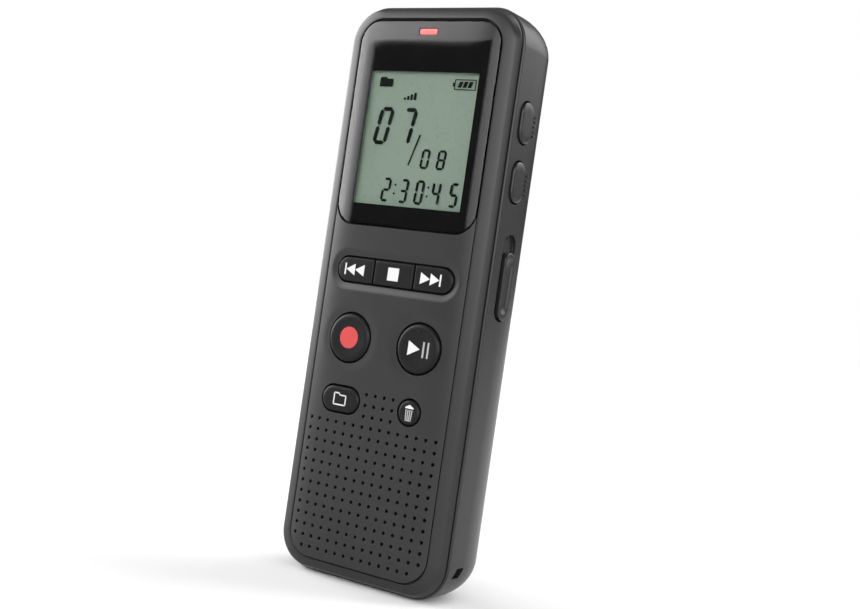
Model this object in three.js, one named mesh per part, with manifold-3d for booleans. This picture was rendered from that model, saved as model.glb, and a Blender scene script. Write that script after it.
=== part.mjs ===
// Slim pocket voice recorder, standing on its bottom end.
// Millimetres; +Z runs up its length, the display and keys face -Y, the side keys are on +X.
// The origin is the middle of the bottom end. A "depth" is measured back from the front crown.
import * as THREE from 'three';
import { mergeVertices } from 'three/addons/utils/BufferGeometryUtils.js';
import Module from 'manifold-3d';

const wasm = await Module();
wasm.setup();

// Body
const bodyHeight = 107.9;
const bodyWidth = 37.6;
const bodyDepth = 19;
const cornerRadius = 7.1;
const wall = 1.5;
const backRoundDepth = 11;
const backRoundWidth = 6;
const innerRoundLag = 2.2;
const seam = 0.3;
// How far joined solids run into each other, and how far a cutter runs past what it cuts
const bite = 0.1;
const past = 1;

// Front cover: a plate with a convex crown inside a rounded rim
const coverStep = 0.4;
const coverDepth = 2.9;
const plateDepth = 2.2;
const rimWidth = 2.8;
const endRimWidth = 2.3;
const rimDrop = 2.2;
const crownMargin = 1.6;
const crownSag = 0.164;
const crownEdgeSag = 0.268;
const skirtWall = 1;
const skirtDepth = 4.6;
const skirtRoot = 0.5;
const crownStock = 0.8;

// Sound holes
const holePitch = 2;
const holeRadius = 0.36;
const holeColumns = 15;
const holeRows = 13;
const holeBottom = 4.9;
const tabColumns = 4;
const tabRows = 3;

// Keys, placed by their centres; heights are from the bottom end
const keyColumn = 7.7;
const smallKeyHeight = 33.2;
const roundKeyHeight = 44.8;
const stripHeight = 57.5;
const keyGap = 0.3;
const keyTravel = 0.35;
const keyProud = 0.4;
const roundKeyRadius = 4.55;
const folderHalfWidth = 4.2;
const folderHalfHeight = 2.4;
const deleteRadius = 2.3;
const stripHalfLength = 12.8;
const stripHalfHeight = 2.3;
const middleKeyHalf = 4.45;
const stripProud = 0.05;
const flangeReach = 0.8;
const flangeThickness = 0.5;
const stemRadius = 1;
const domeClearance = 0.05;
const domeRise = 0.15;
const domeRadius = 1.8;
const domeSheetThickness = 0.15;
const domeTop = 4.4;
const stripInnerRadius = 0.6;
const stripFlangeRadius = 0.3;

// Display
const lensAboveStrip = 8.25;
const lensCornerRadius = 4.3;
const lensThickness = 1.1;
const lensLedge = 1.6;
const glassHalfWidth = 13.2;
const glassThickness = 1.6;
const glassBehindLens = 0.7;
const glassBelowTop = 10.6;
const glassAboveLens = 2.3;
const trayWall = 1;
const zebraHeight = 1.6;
const ledDrop = 5.4;
const ledHalfWidth = 2.05;
const ledHalfHeight = 0.7;
const ledChipDepth = 0.7;
const ledChipHalfWidth = 0.8;
const ledChipHalfHeight = 0.4;

// Circuit board
const boardThickness = 0.8;
const boardBottomGap = 1;
const boardTopGap = 1.6;
const boardCorner = 2;
const sheetMargin = 0.8;
const sheetBottomGap = 0.5;
const sheetCorner = 1.5;
// Parts on the back of the board; each one's height is above the top of the cell bay
const processorSize = { x0: -4, x1: 4, above: 6, length: 8, thick: 1.1 };
const memorySize = { x0: -4, x1: 5, above: 17, length: 6, thick: 1 };
const crystalSize = { x: -8.6, above: 10, halfWidth: 1.2, halfLength: 3, thick: 1.6 };
const coilSize = { x: 8.5, above: 8, radius: 2, thick: 2 };

// Cells, bay and door
const cellDiameter = 10.5;
const cellLength = 44.5;
const nubRadius = 1.9;
const nubLength = 1.1;
const cellPlay = 0.35;
const contactRoom = 2.6;
const contactThickness = 0.4;
const bayFloor = 0.6;
const bayWall = 1;
const bayBottom = 12;
const doorThickness = 1.2;
const doorLap = 1.3;
const doorDrop = 3.5;
const seatWall = 1.2;
const seatEdge = 1;
const hookSpan = 7;
const hookHalfWidth = 2.2;
const hookThickness = 1.2;
const hookReach = 1.5;
const hookRise = 1.5;
const hookSweep = 3.4;
const gripGrooves = 4;
const gripPitch = 1.6;
const gripTopDrop = 4;
const gripHalfWidth = 5;
const gripHalfHeight = 0.4;
const gripDepth = 0.4;
const cellChamfer = 0.4;
const contactMargin = 0.8;
const padRadii = [1.6, 1.3];
const springRadii = [3.4, 1.6];

// Speaker and microphone
const speakerRadius = 11;
const speakerHeight = 17.4;
const speakerPocketDepth = 1.5;
const clothThickness = 0.25;
const basketLip = 1.6;
const magnetShare = 0.6;
const dishInset = 1;
const dishDepth = 0.9;
const coneInset = 1.4;
const coneFoot = 4;
const coneRise = 0.5;
const coneSink = 0.3;
const capsuleRadius = 1.5;
const capsuleThickness = 1.2;
const capsulePlay = 0.2;
const capsuleInset = 0.6;
const bootWall = 0.5;

// Side keys and slide switch, placed down from the top end
const sideDepth = 7.4;
const sideKeyDrops = [20.1, 30.9];
const sideKeyHalfLength = 3.75;
const sideKeyHalfWidth = 2.15;
const sideKeyProud = 0.55;
const sideTravel = 0.35;
const sideKeyBevel = 0.4;
const sideKeyCrown = 0.3;
const sideKeyRoot = 0.3;
const sideFlangeEnd = 0.8;
const noseRadius = 0.8;
const noseReach = 1;
const plungerRadius = 0.7;
const plungerReach = 0.4;
const switchWidth = 2.2;
const switchHalfLength = 2.2;
const switchBehindKey = 1.6;
const slideDrop = 48.25;
const slideDepth = 8.3;
const slotHalfLength = 8;
const slotHalfWidth = 2.4;
const slotSunk = 0.8;
const knobHalfLength = 6.2;
const slideTravel = 2.6;
const knobProud = 0.35;
const stalkHalf = 1;
const stalkReach = 1.2;
const scoopRise = 0.6;
const scoopSideMargin = 1;
const scoopEndMargin = 1.6;
const scoopDepth = 0.4;
const slideSwitchBehind = 1.4;
const slideSwitchSpan = [-3, 5];

// Sockets on the top end
const socketDepth = 8.7;
const jackOffset = 9.3;
const jackBore = 1.8;
const jackHalf = 2.75;
const jackLength = 12;
const jackBelowWall = 1;
const usbHalfWidth = 3.9;
const usbHalfDepth = 2;
const usbLength = 7;
const usbShell = 0.4;
const usbFloor = 1;
const tongueHalfWidth = 2.6;
const tongueHalfDepth = 0.4;
const tongueDrop = 1;
const jackFloor = 1.5;

// Screws and strap eyelet
const bossRadius = 1.9;
const bossTopDrop = 7;
const bossBottom = 17;
const screwHeadRadius = 1.5;
const screwHeadHeight = 1.1;
const screwRadius = 0.8;
const screwLength = 8;
const screwSeat = 5;
const screwPlay = 0.2;
const screwLap = 2;
const pilotRoof = 0.6;
const crossHalfLength = 0.9;
const crossHalfWidth = 0.2;
const crossDepth = 0.5;
const eyeletDepth = 5.2;
const eyeletLength = 3.2;
const eyeletHeight = 5;
const eyeletWidth = 1.8;
const eyeletInset = 6.4;
const eyeletReach = 4;

// Worked out from the sizes above
const crown = -bodyDepth / 2;
const halfWidth = bodyWidth / 2;
const coverHalf = halfWidth - coverStep;
const creaseHalf = coverHalf - rimWidth;
const creaseDepth = coverDepth - rimDrop;
const innerHalf = halfWidth - wall;
const skirtHalf = innerHalf - seam;
const flangeFront = plateDepth + seam;
const flangeBack = flangeFront + flangeThickness;
const stemEnd = domeTop - keyTravel - domeClearance;
const sheetFront = domeTop + domeRise;
const boardFront = sheetFront + domeSheetThickness + seam;
const boardBack = boardFront + boardThickness;
const boardHalf = skirtHalf - skirtWall - seam;
const boardBottom = speakerHeight + speakerRadius + boardBottomGap;
const boardTop = bodyHeight - wall - boardTopGap;
const lensBottom = stripHeight + lensAboveStrip;
const lensTop = bodyHeight - coverStep - endRimWidth - seam;
const glassBottom = lensBottom + glassAboveLens;
const glassTop = bodyHeight - glassBelowTop;
const glassFront = lensThickness + glassBehindLens;
const glassBack = glassFront + glassThickness;
const ledHeight = bodyHeight - ledDrop;
const floorFront = boardBack + seam;
const floorBack = floorFront + bayFloor;
const cellRadius = cellDiameter / 2;
const cellDepth = floorBack + seam + cellRadius;
const cellOffset = cellRadius + cellPlay;
const bayHalf = cellOffset + cellRadius + cellPlay;
const bayTop = bayBottom + cellLength + 2 * contactRoom;
const doorHalf = bayHalf + doorLap;
const doorBottom = bayBottom - doorDrop;
const doorTop = bayTop + doorLap;
const doorInner = bodyDepth - doorThickness;
const seatBack = doorInner - seam;
const bossOffset = innerHalf - bossRadius - 0.2;
const headSeat = bodyDepth - screwSeat;
const bossMeet = headSeat - screwLength + screwLap;
const cavityBack = bodyDepth - wall;
const innerRoundWidth = Math.min(backRoundWidth, cornerRadius - wall - bite);
const innerRoundDepth = backRoundDepth - wall - innerRoundLag;

const endFlat = 0.15;
// Each step of an arc gives two straight sides
const outerSteps = 3;
const pillSteps = 2;
const smallSteps = 1;
const dotSteps = 4;
const holeSteps = 3;
const roundSteps = 9;
const roundSides = 18;
const smallSides = 10;

// A closed geometry as a solid, with its shared points joined and its flat slivers dropped
function toSolid(geometry) {
  const bare = geometry.index ? geometry.toNonIndexed() : geometry.clone();
  bare.deleteAttribute('normal');
  bare.deleteAttribute('uv');
  const joined = mergeVertices(bare, 1e-4);
  const corners = joined.index.array;
  const kept = [];
  for (let i = 0; i < corners.length; i += 3) {
    const [a, b, c] = [corners[i], corners[i + 1], corners[i + 2]];
    if (a !== b && b !== c && c !== a) kept.push(a, b, c);
  }
  return new wasm.Manifold(new wasm.Mesh({
    numProp: 3,
    vertProperties: new Float32Array(joined.attributes.position.array),
    triVerts: new Uint32Array(kept),
  }));
}

const facing = {
  front: new THREE.Matrix4().makeBasis(
    new THREE.Vector3(1, 0, 0), new THREE.Vector3(0, 0, 1), new THREE.Vector3(0, -1, 0)),
  side: new THREE.Matrix4().makeBasis(
    new THREE.Vector3(0, 1, 0), new THREE.Vector3(0, 0, 1), new THREE.Vector3(1, 0, 0)),
};

// An outline drawn in (x, z), pushed back from one depth to another
function frontSlab(shape, depthFront, depthBack, steps = smallSteps) {
  const options = { depth: depthBack - depthFront, bevelEnabled: false, curveSegments: steps };
  const geometry = new THREE.ExtrudeGeometry(shape, options);
  geometry.applyMatrix4(facing.front);
  geometry.translate(0, crown + depthBack, 0);
  return toSolid(geometry);
}

// The same with a bevel round its front or back edge, inside the given outline size
function bevelSlab(shape, depthFront, depthBack, bevel, steps) {
  const { width, drop, rings } = bevel;
  const options = {
    depth: depthBack - depthFront - 2 * drop,
    bevelThickness: drop,
    bevelSize: width,
    bevelOffset: -width,
    bevelSegments: rings,
    curveSegments: steps,
  };
  const geometry = new THREE.ExtrudeGeometry(shape, options);
  geometry.applyMatrix4(facing.front);
  geometry.translate(0, crown + depthBack - drop, 0);
  return toSolid(geometry);
}

// An outline drawn in (y, z), pushed out along x
function sideSlab(shape, xInner, xOuter, steps = pillSteps) {
  const options = { depth: xOuter - xInner, bevelEnabled: false, curveSegments: steps };
  const geometry = new THREE.ExtrudeGeometry(shape, options);
  geometry.applyMatrix4(facing.side);
  geometry.translate(xInner, 0, 0);
  return toSolid(geometry);
}

// A block between two x values, two depths and two heights
function block(x0, x1, depth0, depth1, z0, z1) {
  const geometry = new THREE.BoxGeometry(x1 - x0, depth1 - depth0, z1 - z0);
  geometry.translate((x0 + x1) / 2, crown + (depth0 + depth1) / 2, (z0 + z1) / 2);
  return toSolid(geometry);
}

// A round bar pointing back
function bar(x, z, radius, depth0, depth1, sides = smallSides) {
  const geometry = new THREE.CylinderGeometry(radius, radius, depth1 - depth0, sides);
  geometry.translate(x, crown + (depth0 + depth1) / 2, z);
  return toSolid(geometry);
}

// A turned piece on an upright axis; the profile is a list of [radius, height]
function turned(profile, x, depth, z, sides = roundSides) {
  const points = profile.map(([radius, height]) => new THREE.Vector2(radius, height));
  const geometry = new THREE.LatheGeometry(points, sides);
  geometry.rotateX(Math.PI / 2);
  geometry.translate(x, crown + depth, z);
  return toSolid(geometry);
}

function roundedRect(x0, x1, z0, z1, radius) {
  const shape = new THREE.Shape();
  shape.absarc(x1 - radius, z0 + radius, radius, -Math.PI / 2, 0);
  shape.absarc(x1 - radius, z1 - radius, radius, 0, Math.PI / 2);
  shape.absarc(x0 + radius, z1 - radius, radius, Math.PI / 2, Math.PI);
  shape.absarc(x0 + radius, z0 + radius, radius, Math.PI, 1.5 * Math.PI);
  shape.closePath();
  return shape;
}

function circle(x, z, radius) {
  const shape = new THREE.Shape();
  shape.absarc(x, z, radius, 0, 2 * Math.PI);
  return shape;
}

// The body's outline brought in by an inset
function bodyOutline(inset) {
  const radius = cornerRadius - inset;
  return roundedRect(-halfWidth + inset, halfWidth - inset, inset, bodyHeight - inset, radius);
}

function crownDepth(x) {
  const share = x / (creaseHalf - crownMargin);
  return crownSag * share ** 2 + crownEdgeSag * share ** 8;
}

// The crowned block under the front surface: convex across, straight along the length
function crownBlock(halfX, depthBack, z0, z1) {
  const stops = [13, 11, 7, 3].map((step) => step * holePitch / 2);
  const edges = [halfX, ...stops.filter((x) => x < halfX)];
  const across = [...edges.map((x) => -x), ...edges.reverse()];
  const shape = new THREE.Shape();
  shape.moveTo(-halfX, crown + depthBack);
  shape.lineTo(halfX, crown + depthBack);
  across.reverse().forEach((x) => shape.lineTo(x, crown + crownDepth(x)));
  shape.closePath();
  const geometry = new THREE.ExtrudeGeometry(shape, { depth: z1 - z0, bevelEnabled: false });
  geometry.translate(0, 0, z0);
  return toSolid(geometry);
}

// The groove round the crowned panel: nearer the ends than the sides
function creaseOutline() {
  const end = coverStep + endRimWidth;
  return roundedRect(-creaseHalf, creaseHalf, end, bodyHeight - end, cornerRadius - end);
}

function lensOutline(inset) {
  const edge = creaseHalf - inset;
  return roundedRect(-edge, edge, lensBottom + inset, lensTop - inset, lensCornerRadius - inset);
}

// Every sound hole: full rows with the bottom row's ends left off, and a tab of short rows above
function soundHoles() {
  const holes = [];
  const half = (holeColumns - 1) / 2;
  for (let row = 0; row < holeRows + tabRows; row += 1) {
    const inTab = row >= holeRows;
    for (let column = -half; column <= half; column += 1) {
      const cornerHole = row === 0 && Math.abs(column) === half;
      const outsideTab = inTab && (column < -1 || column >= tabColumns - 1);
      if (cornerHole || outsideTab) continue;
      holes.push(circle(column * holePitch, holeBottom + row * holePitch, holeRadius));
    }
  }
  return frontSlab(holes, -past, plateDepth + past, holeSteps);
}

// The outline of one key of the strip: round where the strip ends, square where two keys meet
function stripOutline(x0, x1, halfHeight) {
  const left = x0 < -middleKeyHalf - 1 ? halfHeight - endFlat : stripInnerRadius;
  const right = x1 > middleKeyHalf + 1 ? halfHeight - endFlat : stripInnerRadius;
  const [z0, z1] = [stripHeight - halfHeight, stripHeight + halfHeight];
  const shape = new THREE.Shape();
  shape.absarc(x1 - right, z0 + right, right, -Math.PI / 2, 0);
  shape.absarc(x1 - right, z1 - right, right, 0, Math.PI / 2);
  shape.absarc(x0 + left, z1 - left, left, Math.PI / 2, Math.PI);
  shape.absarc(x0 + left, z0 + left, left, Math.PI, 1.5 * Math.PI);
  shape.closePath();
  return shape;
}

function pill(x, z, halfX, halfZ) {
  return roundedRect(x - halfX, x + halfX, z - halfZ, z + halfZ, Math.min(halfX, halfZ) - endFlat);
}

const keys = {
  record_key: {
    x: -keyColumn,
    z: roundKeyHeight,
    steps: roundSteps,
    outline: (extra) => circle(-keyColumn, roundKeyHeight, roundKeyRadius + extra),
  },
  play_key: {
    x: keyColumn,
    z: roundKeyHeight,
    steps: roundSteps,
    outline: (extra) => circle(keyColumn, roundKeyHeight, roundKeyRadius + extra),
  },
  folder_key: {
    x: -keyColumn,
    z: smallKeyHeight,
    steps: outerSteps,
    outline: (extra) => pill(-keyColumn, smallKeyHeight, folderHalfWidth + extra,
      folderHalfHeight + extra),
  },
  delete_key: {
    x: keyColumn,
    z: smallKeyHeight,
    steps: roundSteps,
    outline: (extra) => circle(keyColumn, smallKeyHeight, deleteRadius + extra),
  },
};

const stripKeys = {
  previous_key: [-stripHalfLength, -middleKeyHalf - keyGap / 2],
  stop_key: [-middleKeyHalf + keyGap / 2, middleKeyHalf - keyGap / 2],
  next_key: [middleKeyHalf + keyGap / 2, stripHalfLength],
};

const keyCentres = [
  ...Object.values(keys).map(({ x, z }) => [x, z]),
  ...Object.values(stripKeys).map(([x0, x1]) => [(x0 + x1) / 2, stripHeight]),
];

const bossSpots = [-1, 1].flatMap((side) => [
  [side * bossOffset, bossBottom],
  [side * bossOffset, bodyHeight - bossTopDrop],
]);

function frontCover() {
  const outline = bodyOutline(coverStep);
  const rim = { width: rimWidth, drop: rimDrop, rings: 2 };
  const rounded = bevelSlab(outline, creaseDepth, coverDepth + 4, rim, outerSteps);
  const front = block(-halfWidth, halfWidth, -past, coverDepth, 0, bodyHeight);
  const crownArea = frontSlab(creaseOutline(), -past, coverDepth, outerSteps);
  const crowned = crownBlock(creaseHalf, creaseDepth + crownStock, 0, bodyHeight).intersect(crownArea);
  const skirt = frontSlab(bodyOutline(wall + seam), plateDepth - skirtRoot, skirtDepth, outerSteps);
  const hollow = frontSlab(bodyOutline(wall + seam + skirtWall), plateDepth,
    skirtDepth + past, outerSteps);
  const lensPocket = frontSlab(lensOutline(0), -past, lensThickness + seam, outerSteps);
  const glassWindow = block(-glassHalfWidth - seam, glassHalfWidth + seam, 0, plateDepth + past,
    glassBottom - seam, glassTop + seam);
  const ledWindow = block(-ledHalfWidth - seam, ledHalfWidth + seam, 0, plateDepth + past,
    ledHeight - ledHalfHeight - seam, ledHeight + ledHalfHeight + seam);
  const strip = pill(0, stripHeight, stripHalfLength + keyGap, stripHalfHeight + keyGap);
  const speakerPocket = bar(0, speakerHeight, speakerRadius + 2 * seam, speakerPocketDepth,
    plateDepth + past, roundSides);
  let cover = rounded.intersect(front).add(crowned).add(skirt).subtract(hollow);
  bossSpots.forEach(([x, z]) => {
    cover = cover.add(bar(x, z, bossRadius, plateDepth - skirtRoot, bossMeet));
  });
  bossSpots.forEach(([x, z]) => {
    cover = cover.subtract(bar(x, z, screwRadius + screwPlay, plateDepth + pilotRoof,
      bossMeet + past));
  });
  cover = cover.subtract(lensPocket).subtract(glassWindow).subtract(ledWindow);
  cover = cover.subtract(frontSlab(strip, -past, plateDepth + past, outerSteps));
  Object.values(keys).forEach(({ outline: hole, steps }) => {
    cover = cover.subtract(frontSlab(hole(keyGap), -past, plateDepth + past, steps));
  });
  return cover.subtract(speakerPocket).subtract(soundHoles());
}

function rearShell() {
  const round = { width: backRoundWidth, drop: backRoundDepth, rings: 4 };
  const innerRound = { width: innerRoundWidth, drop: innerRoundDepth, rings: 3 };
  const outer = bevelSlab(bodyOutline(0), -bodyDepth, bodyDepth, round, outerSteps);
  const behindSeam = block(-halfWidth, halfWidth, coverDepth + seam, bodyDepth, 0, bodyHeight);
  const inner = bevelSlab(bodyOutline(wall), -bodyDepth, cavityBack, innerRound, outerSteps);
  const bay = block(-bayHalf - bayWall, bayHalf + bayWall, floorFront, cavityBack + bite,
    bayBottom - bayWall, bayTop + bayWall);
  const seat = block(-doorHalf - seatEdge, doorHalf + seatEdge, seatBack - seatWall, cavityBack + bite,
    doorBottom - seatEdge - seam, doorTop + seatEdge);
  const bayRoom = block(-bayHalf, bayHalf, floorBack, bodyDepth + past, bayBottom, bayTop);
  const doorRoom = block(-doorHalf - seam, doorHalf + seam, seatBack, bodyDepth + past,
    doorBottom - seam, doorTop + seam);
  let shell = outer.intersect(behindSeam).subtract(inner).add(bay).add(seat);
  bossSpots.forEach(([x, z]) => {
    shell = shell.add(bar(x, z, bossRadius, bossMeet + seam, cavityBack));
  });
  shell = shell.intersect(outer).subtract(bayRoom).subtract(doorRoom);
  [-1, 1].forEach((side) => {
    const reach = hookHalfWidth + seam;
    shell = shell.subtract(block(side * hookSpan - reach, side * hookSpan + reach,
      bodyDepth - hookSweep - seam, seatBack, doorBottom - hookSweep, bayBottom + bite));
  });
  bossSpots.forEach(([x, z]) => {
    shell = shell.subtract(bar(x, z, screwRadius + screwPlay, bossMeet, bodyDepth));
    shell = shell.subtract(bar(x, z, screwHeadRadius + screwPlay, headSeat, bodyDepth + past));
  });
  return shell.subtract(sideOpenings()).subtract(topOpenings()).subtract(strapEyelet());
}

function sideOutline(depth, z, halfY, halfZ) {
  return pill(crown + depth, z, halfY, halfZ);
}

function sideOpenings() {
  const [x0, x1] = [innerHalf - past, halfWidth + past];
  const slideHeight = bodyHeight - slideDrop;
  const recess = sideSlab(sideOutline(slideDepth, slideHeight, slotHalfWidth, slotHalfLength),
    halfWidth - slotSunk, x1);
  const half = stalkHalf + seam;
  const slot = block(x0, x1, slideDepth - half, slideDepth + half,
    slideHeight - stalkHalf - slideTravel, slideHeight + stalkHalf + slideTravel);
  let openings = recess.add(slot);
  sideKeyDrops.forEach((drop) => {
    const outline = sideOutline(sideDepth, bodyHeight - drop, sideKeyHalfWidth + keyGap,
      sideKeyHalfLength + keyGap);
    openings = openings.add(sideSlab(outline, x0, x1));
  });
  return openings;
}

function topOpenings() {
  const [z0, z1] = [bodyHeight - wall - past, bodyHeight + past];
  const usb = block(-usbHalfWidth - seam, usbHalfWidth + seam, socketDepth - usbHalfDepth - seam,
    socketDepth + usbHalfDepth + seam, z0, z1);
  const bore = [[0, z0], [jackBore, z0], [jackBore, z1], [0, z1]];
  return usb.add(turned(bore, -jackOffset, socketDepth, 0, smallSides))
    .add(turned(bore, jackOffset, socketDepth, 0, smallSides));
}

// A side slot and a bottom slot that meet inside the corner, for a wrist strap
function strapEyelet() {
  const sideSlot = block(halfWidth - eyeletReach, halfWidth + past, eyeletDepth, eyeletDepth + eyeletLength,
    eyeletHeight, eyeletHeight + eyeletWidth);
  const x = halfWidth - eyeletInset;
  const endSlot = block(x - eyeletWidth, x, eyeletDepth, eyeletDepth + eyeletLength, -past,
    eyeletHeight + eyeletWidth);
  return sideSlot.add(endSlot);
}

function displayLens() {
  const area = frontSlab(lensOutline(seam), -past, lensThickness, outerSteps);
  return crownBlock(creaseHalf, lensThickness, lensBottom, lensTop).intersect(area);
}

function lcdGlass() {
  return block(-glassHalfWidth, glassHalfWidth, glassFront, glassBack, glassBottom, glassTop);
}

function lcdTray() {
  const reach = glassHalfWidth + seam;
  const outer = block(-reach - trayWall, reach + trayWall, flangeFront, boardFront - seam,
    glassBottom - seam - trayWall, glassTop + seam + trayWall);
  const room = block(-reach, reach, 0, glassBack + seam, glassBottom - seam, glassTop + seam);
  const slot = block(-reach + trayWall, reach - trayWall, 0, boardFront,
    glassBottom, glassBottom + zebraHeight + 2 * seam);
  return outer.subtract(room).subtract(slot);
}

function zebraStrip() {
  const reach = glassHalfWidth - trayWall;
  const z0 = glassBottom + seam;
  return block(-reach, reach, glassBack + seam, boardFront - seam, z0, z0 + zebraHeight);
}

function lightGuide() {
  return block(-ledHalfWidth, ledHalfWidth, lensThickness + seam, boardFront - 2 * seam - ledChipDepth,
    ledHeight - ledHalfHeight, ledHeight + ledHalfHeight);
}

function statusLed() {
  const back = boardFront - seam;
  return block(-ledChipHalfWidth, ledChipHalfWidth, back - ledChipDepth, back,
    ledHeight - ledChipHalfHeight, ledHeight + ledChipHalfHeight);
}

function mainBoard() {
  const outline = roundedRect(-boardHalf, boardHalf, boardBottom, boardTop, boardCorner);
  let board = frontSlab(outline, boardFront, boardBack);
  bossSpots.forEach(([x, z]) => {
    board = board.subtract(bar(x, z, bossRadius + seam, boardFront - past, boardBack + past));
  });
  return board;
}

// The sheet of key contacts that lies on the board, with a dome under each key
function domeSheet() {
  const top = stripHeight + stripHalfHeight + sheetMargin;
  const outline = roundedRect(-boardHalf + sheetMargin, boardHalf - sheetMargin,
    boardBottom + sheetBottomGap, top, sheetCorner);
  let sheet = frontSlab(outline, sheetFront, sheetFront + domeSheetThickness);
  keyCentres.forEach(([x, z]) => {
    sheet = sheet.add(bar(x, z, domeRadius, domeTop, sheetFront + 0.05));
  });
  return sheet;
}

// A key: bevelled cap through the cover, a flange behind it and a stem over its dome
function key(cap, flange, steps, x, z) {
  const seatedFlange = frontSlab(flange, flangeFront, flangeBack, steps);
  const stem = bar(x, z, stemRadius, flangeBack - bite, stemEnd);
  return cap.add(seatedFlange).add(stem);
}

const keyBevel = { width: 0.35, drop: 0.35, rings: 1 };

function cap(outline, proud, steps) {
  const whole = bevelSlab(outline, -proud, flangeBack + past, keyBevel, steps);
  return whole.intersect(block(-halfWidth, halfWidth, -2 * past, flangeBack - bite, 0, bodyHeight));
}

function panelKey({ x, z, steps, outline }) {
  return key(cap(outline(0), keyProud, steps), outline(flangeReach), steps, x, z);
}

function stripKey([x0, x1]) {
  const outline = stripOutline(x0, x1, stripHalfHeight);
  const flange = roundedRect(x0, x1, stripHeight - stripHalfHeight - flangeReach,
    stripHeight + stripHalfHeight + flangeReach, stripFlangeRadius);
  return key(cap(outline, stripProud, outerSteps), flange, smallSteps, (x0 + x1) / 2, stripHeight);
}

// Chips and small parts soldered to the back of the board
function processorChip() {
  const top = boardBack + seam;
  const { x0, x1, above, length, thick } = processorSize;
  return block(x0, x1, top, top + thick, bayTop + above, bayTop + above + length);
}

function memoryChip() {
  const top = boardBack + seam;
  const { x0, x1, above, length, thick } = memorySize;
  return block(x0, x1, top, top + thick, bayTop + above, bayTop + above + length);
}

function crystalCan() {
  const top = boardBack + seam;
  const { x, above, halfWidth: half, halfLength, thick } = crystalSize;
  return frontSlab(pill(x, bayTop + above, half, halfLength), top, top + thick);
}

function powerCoil() {
  const top = boardBack + seam;
  const { x, above, radius, thick } = coilSize;
  return bar(x, bayTop + above, radius, top, top + thick);
}

function cellContour() {
  const bodyTop = cellLength - nubLength;
  const flat = cellRadius - cellChamfer;
  return [[0, 0], [flat, 0], [cellRadius, cellChamfer], [cellRadius, bodyTop - cellChamfer],
    [flat, bodyTop], [nubRadius, bodyTop], [nubRadius, cellLength], [0, cellLength]];
}

// side -1 stands with its nub up, side +1 with its nub down
function cell(side) {
  const z0 = bayBottom + contactRoom;
  const profile = side < 0 ? cellContour()
    : cellContour().map(([radius, height]) => [radius, cellLength - height]).reverse();
  return turned(profile, side * cellOffset, cellDepth, z0);
}

// A contact plate at one end of the bay: a spring cone for each nub-less end, a pad for each nub
function contact(atTop, sides) {
  const wallFace = atTop ? bayTop - seam : bayBottom + seam;
  const inward = atTop ? -1 : 1;
  const span = cellRadius - contactMargin;
  const xs = sides.map((side) => side * cellOffset);
  const [x0, x1] = [Math.min(...xs) - span, Math.max(...xs) + span];
  const plateEnd = wallFace + inward * contactThickness;
  const [z0, z1] = [Math.min(wallFace, plateEnd), Math.max(wallFace, plateEnd)];
  let plate = block(x0, x1, cellDepth - span, cellDepth + span, z0, z1);
  sides.forEach((side) => {
    const nubHere = atTop === (side < 0);
    const rise = contactRoom - 2 * seam - contactThickness;
    const [foot, tip] = nubHere ? padRadii : springRadii;
    const start = plateEnd - inward * bite;
    const end = plateEnd + inward * rise;
    const cone = [[0, start], [foot, start], [tip, end], [0, end]];
    plate = plate.add(turned(atTop ? cone.reverse() : cone, side * cellOffset, cellDepth, 0,
      smallSides));
  });
  return plate;
}

function batteryDoor() {
  let door = block(-doorHalf, doorHalf, doorInner, bodyDepth, doorBottom, doorTop);
  for (let groove = 0; groove < gripGrooves; groove += 1) {
    const z = doorTop - gripTopDrop - groove * gripPitch;
    door = door.subtract(block(-gripHalfWidth, gripHalfWidth, bodyDepth - gripDepth,
      bodyDepth + past, z - gripHalfHeight, z + gripHalfHeight));
  }
  [-1, 1].forEach((side) => {
    const [x0, x1] = [side * hookSpan - hookHalfWidth, side * hookSpan + hookHalfWidth];
    const tabBack = seatBack - seam;
    const tabFront = tabBack - hookThickness;
    door = door.add(block(x0, x1, tabFront, doorInner + bite, doorBottom + seam,
      doorBottom + hookRise));
    door = door.add(block(x0, x1, tabFront, tabBack, doorBottom - hookReach,
      doorBottom + hookRise));
  });
  return door;
}

function grilleCloth() {
  const front = speakerPocketDepth + seam;
  return bar(0, speakerHeight, speakerRadius + seam, front, front + clothThickness, roundSides);
}

// The loudspeaker's basket and magnet, turned about an axis that points back
function speakerDriver() {
  const front = speakerPocketDepth + clothThickness + 2 * seam;
  const back = floorFront - seam;
  const flange = bar(0, speakerHeight, speakerRadius, front, front + basketLip, roundSides);
  const can = bar(0, speakerHeight, speakerRadius * magnetShare, front + basketLip - bite, back,
    roundSides);
  const dish = bar(0, speakerHeight, speakerRadius - dishInset, front - past,
    front + dishDepth, roundSides);
  return flange.add(can).subtract(dish);
}

function speakerCone() {
  const front = speakerPocketDepth + clothThickness + 2 * seam;
  const geometry = new THREE.CylinderGeometry(speakerRadius - coneInset, coneFoot, coneRise,
    roundSides);
  geometry.translate(0, crown + front + coneSink, speakerHeight);
  return toSolid(geometry);
}

const capsuleX = (holeColumns - 1) / 2 * holePitch - capsuleInset;
const capsuleZ = holeBottom + (holeRows - 1) * holePitch;

function microphoneCapsule() {
  const front = flangeFront + capsulePlay;
  return bar(capsuleX, capsuleZ, capsuleRadius, front, front + capsuleThickness, smallSides);
}

function microphoneBoot() {
  const front = flangeFront;
  const inner = capsuleRadius + capsulePlay;
  const ring = bar(capsuleX, capsuleZ, inner + bootWall, front, front + capsuleThickness);
  return ring.subtract(bar(capsuleX, capsuleZ, inner, front - past,
    front + capsuleThickness + past));
}

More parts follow.
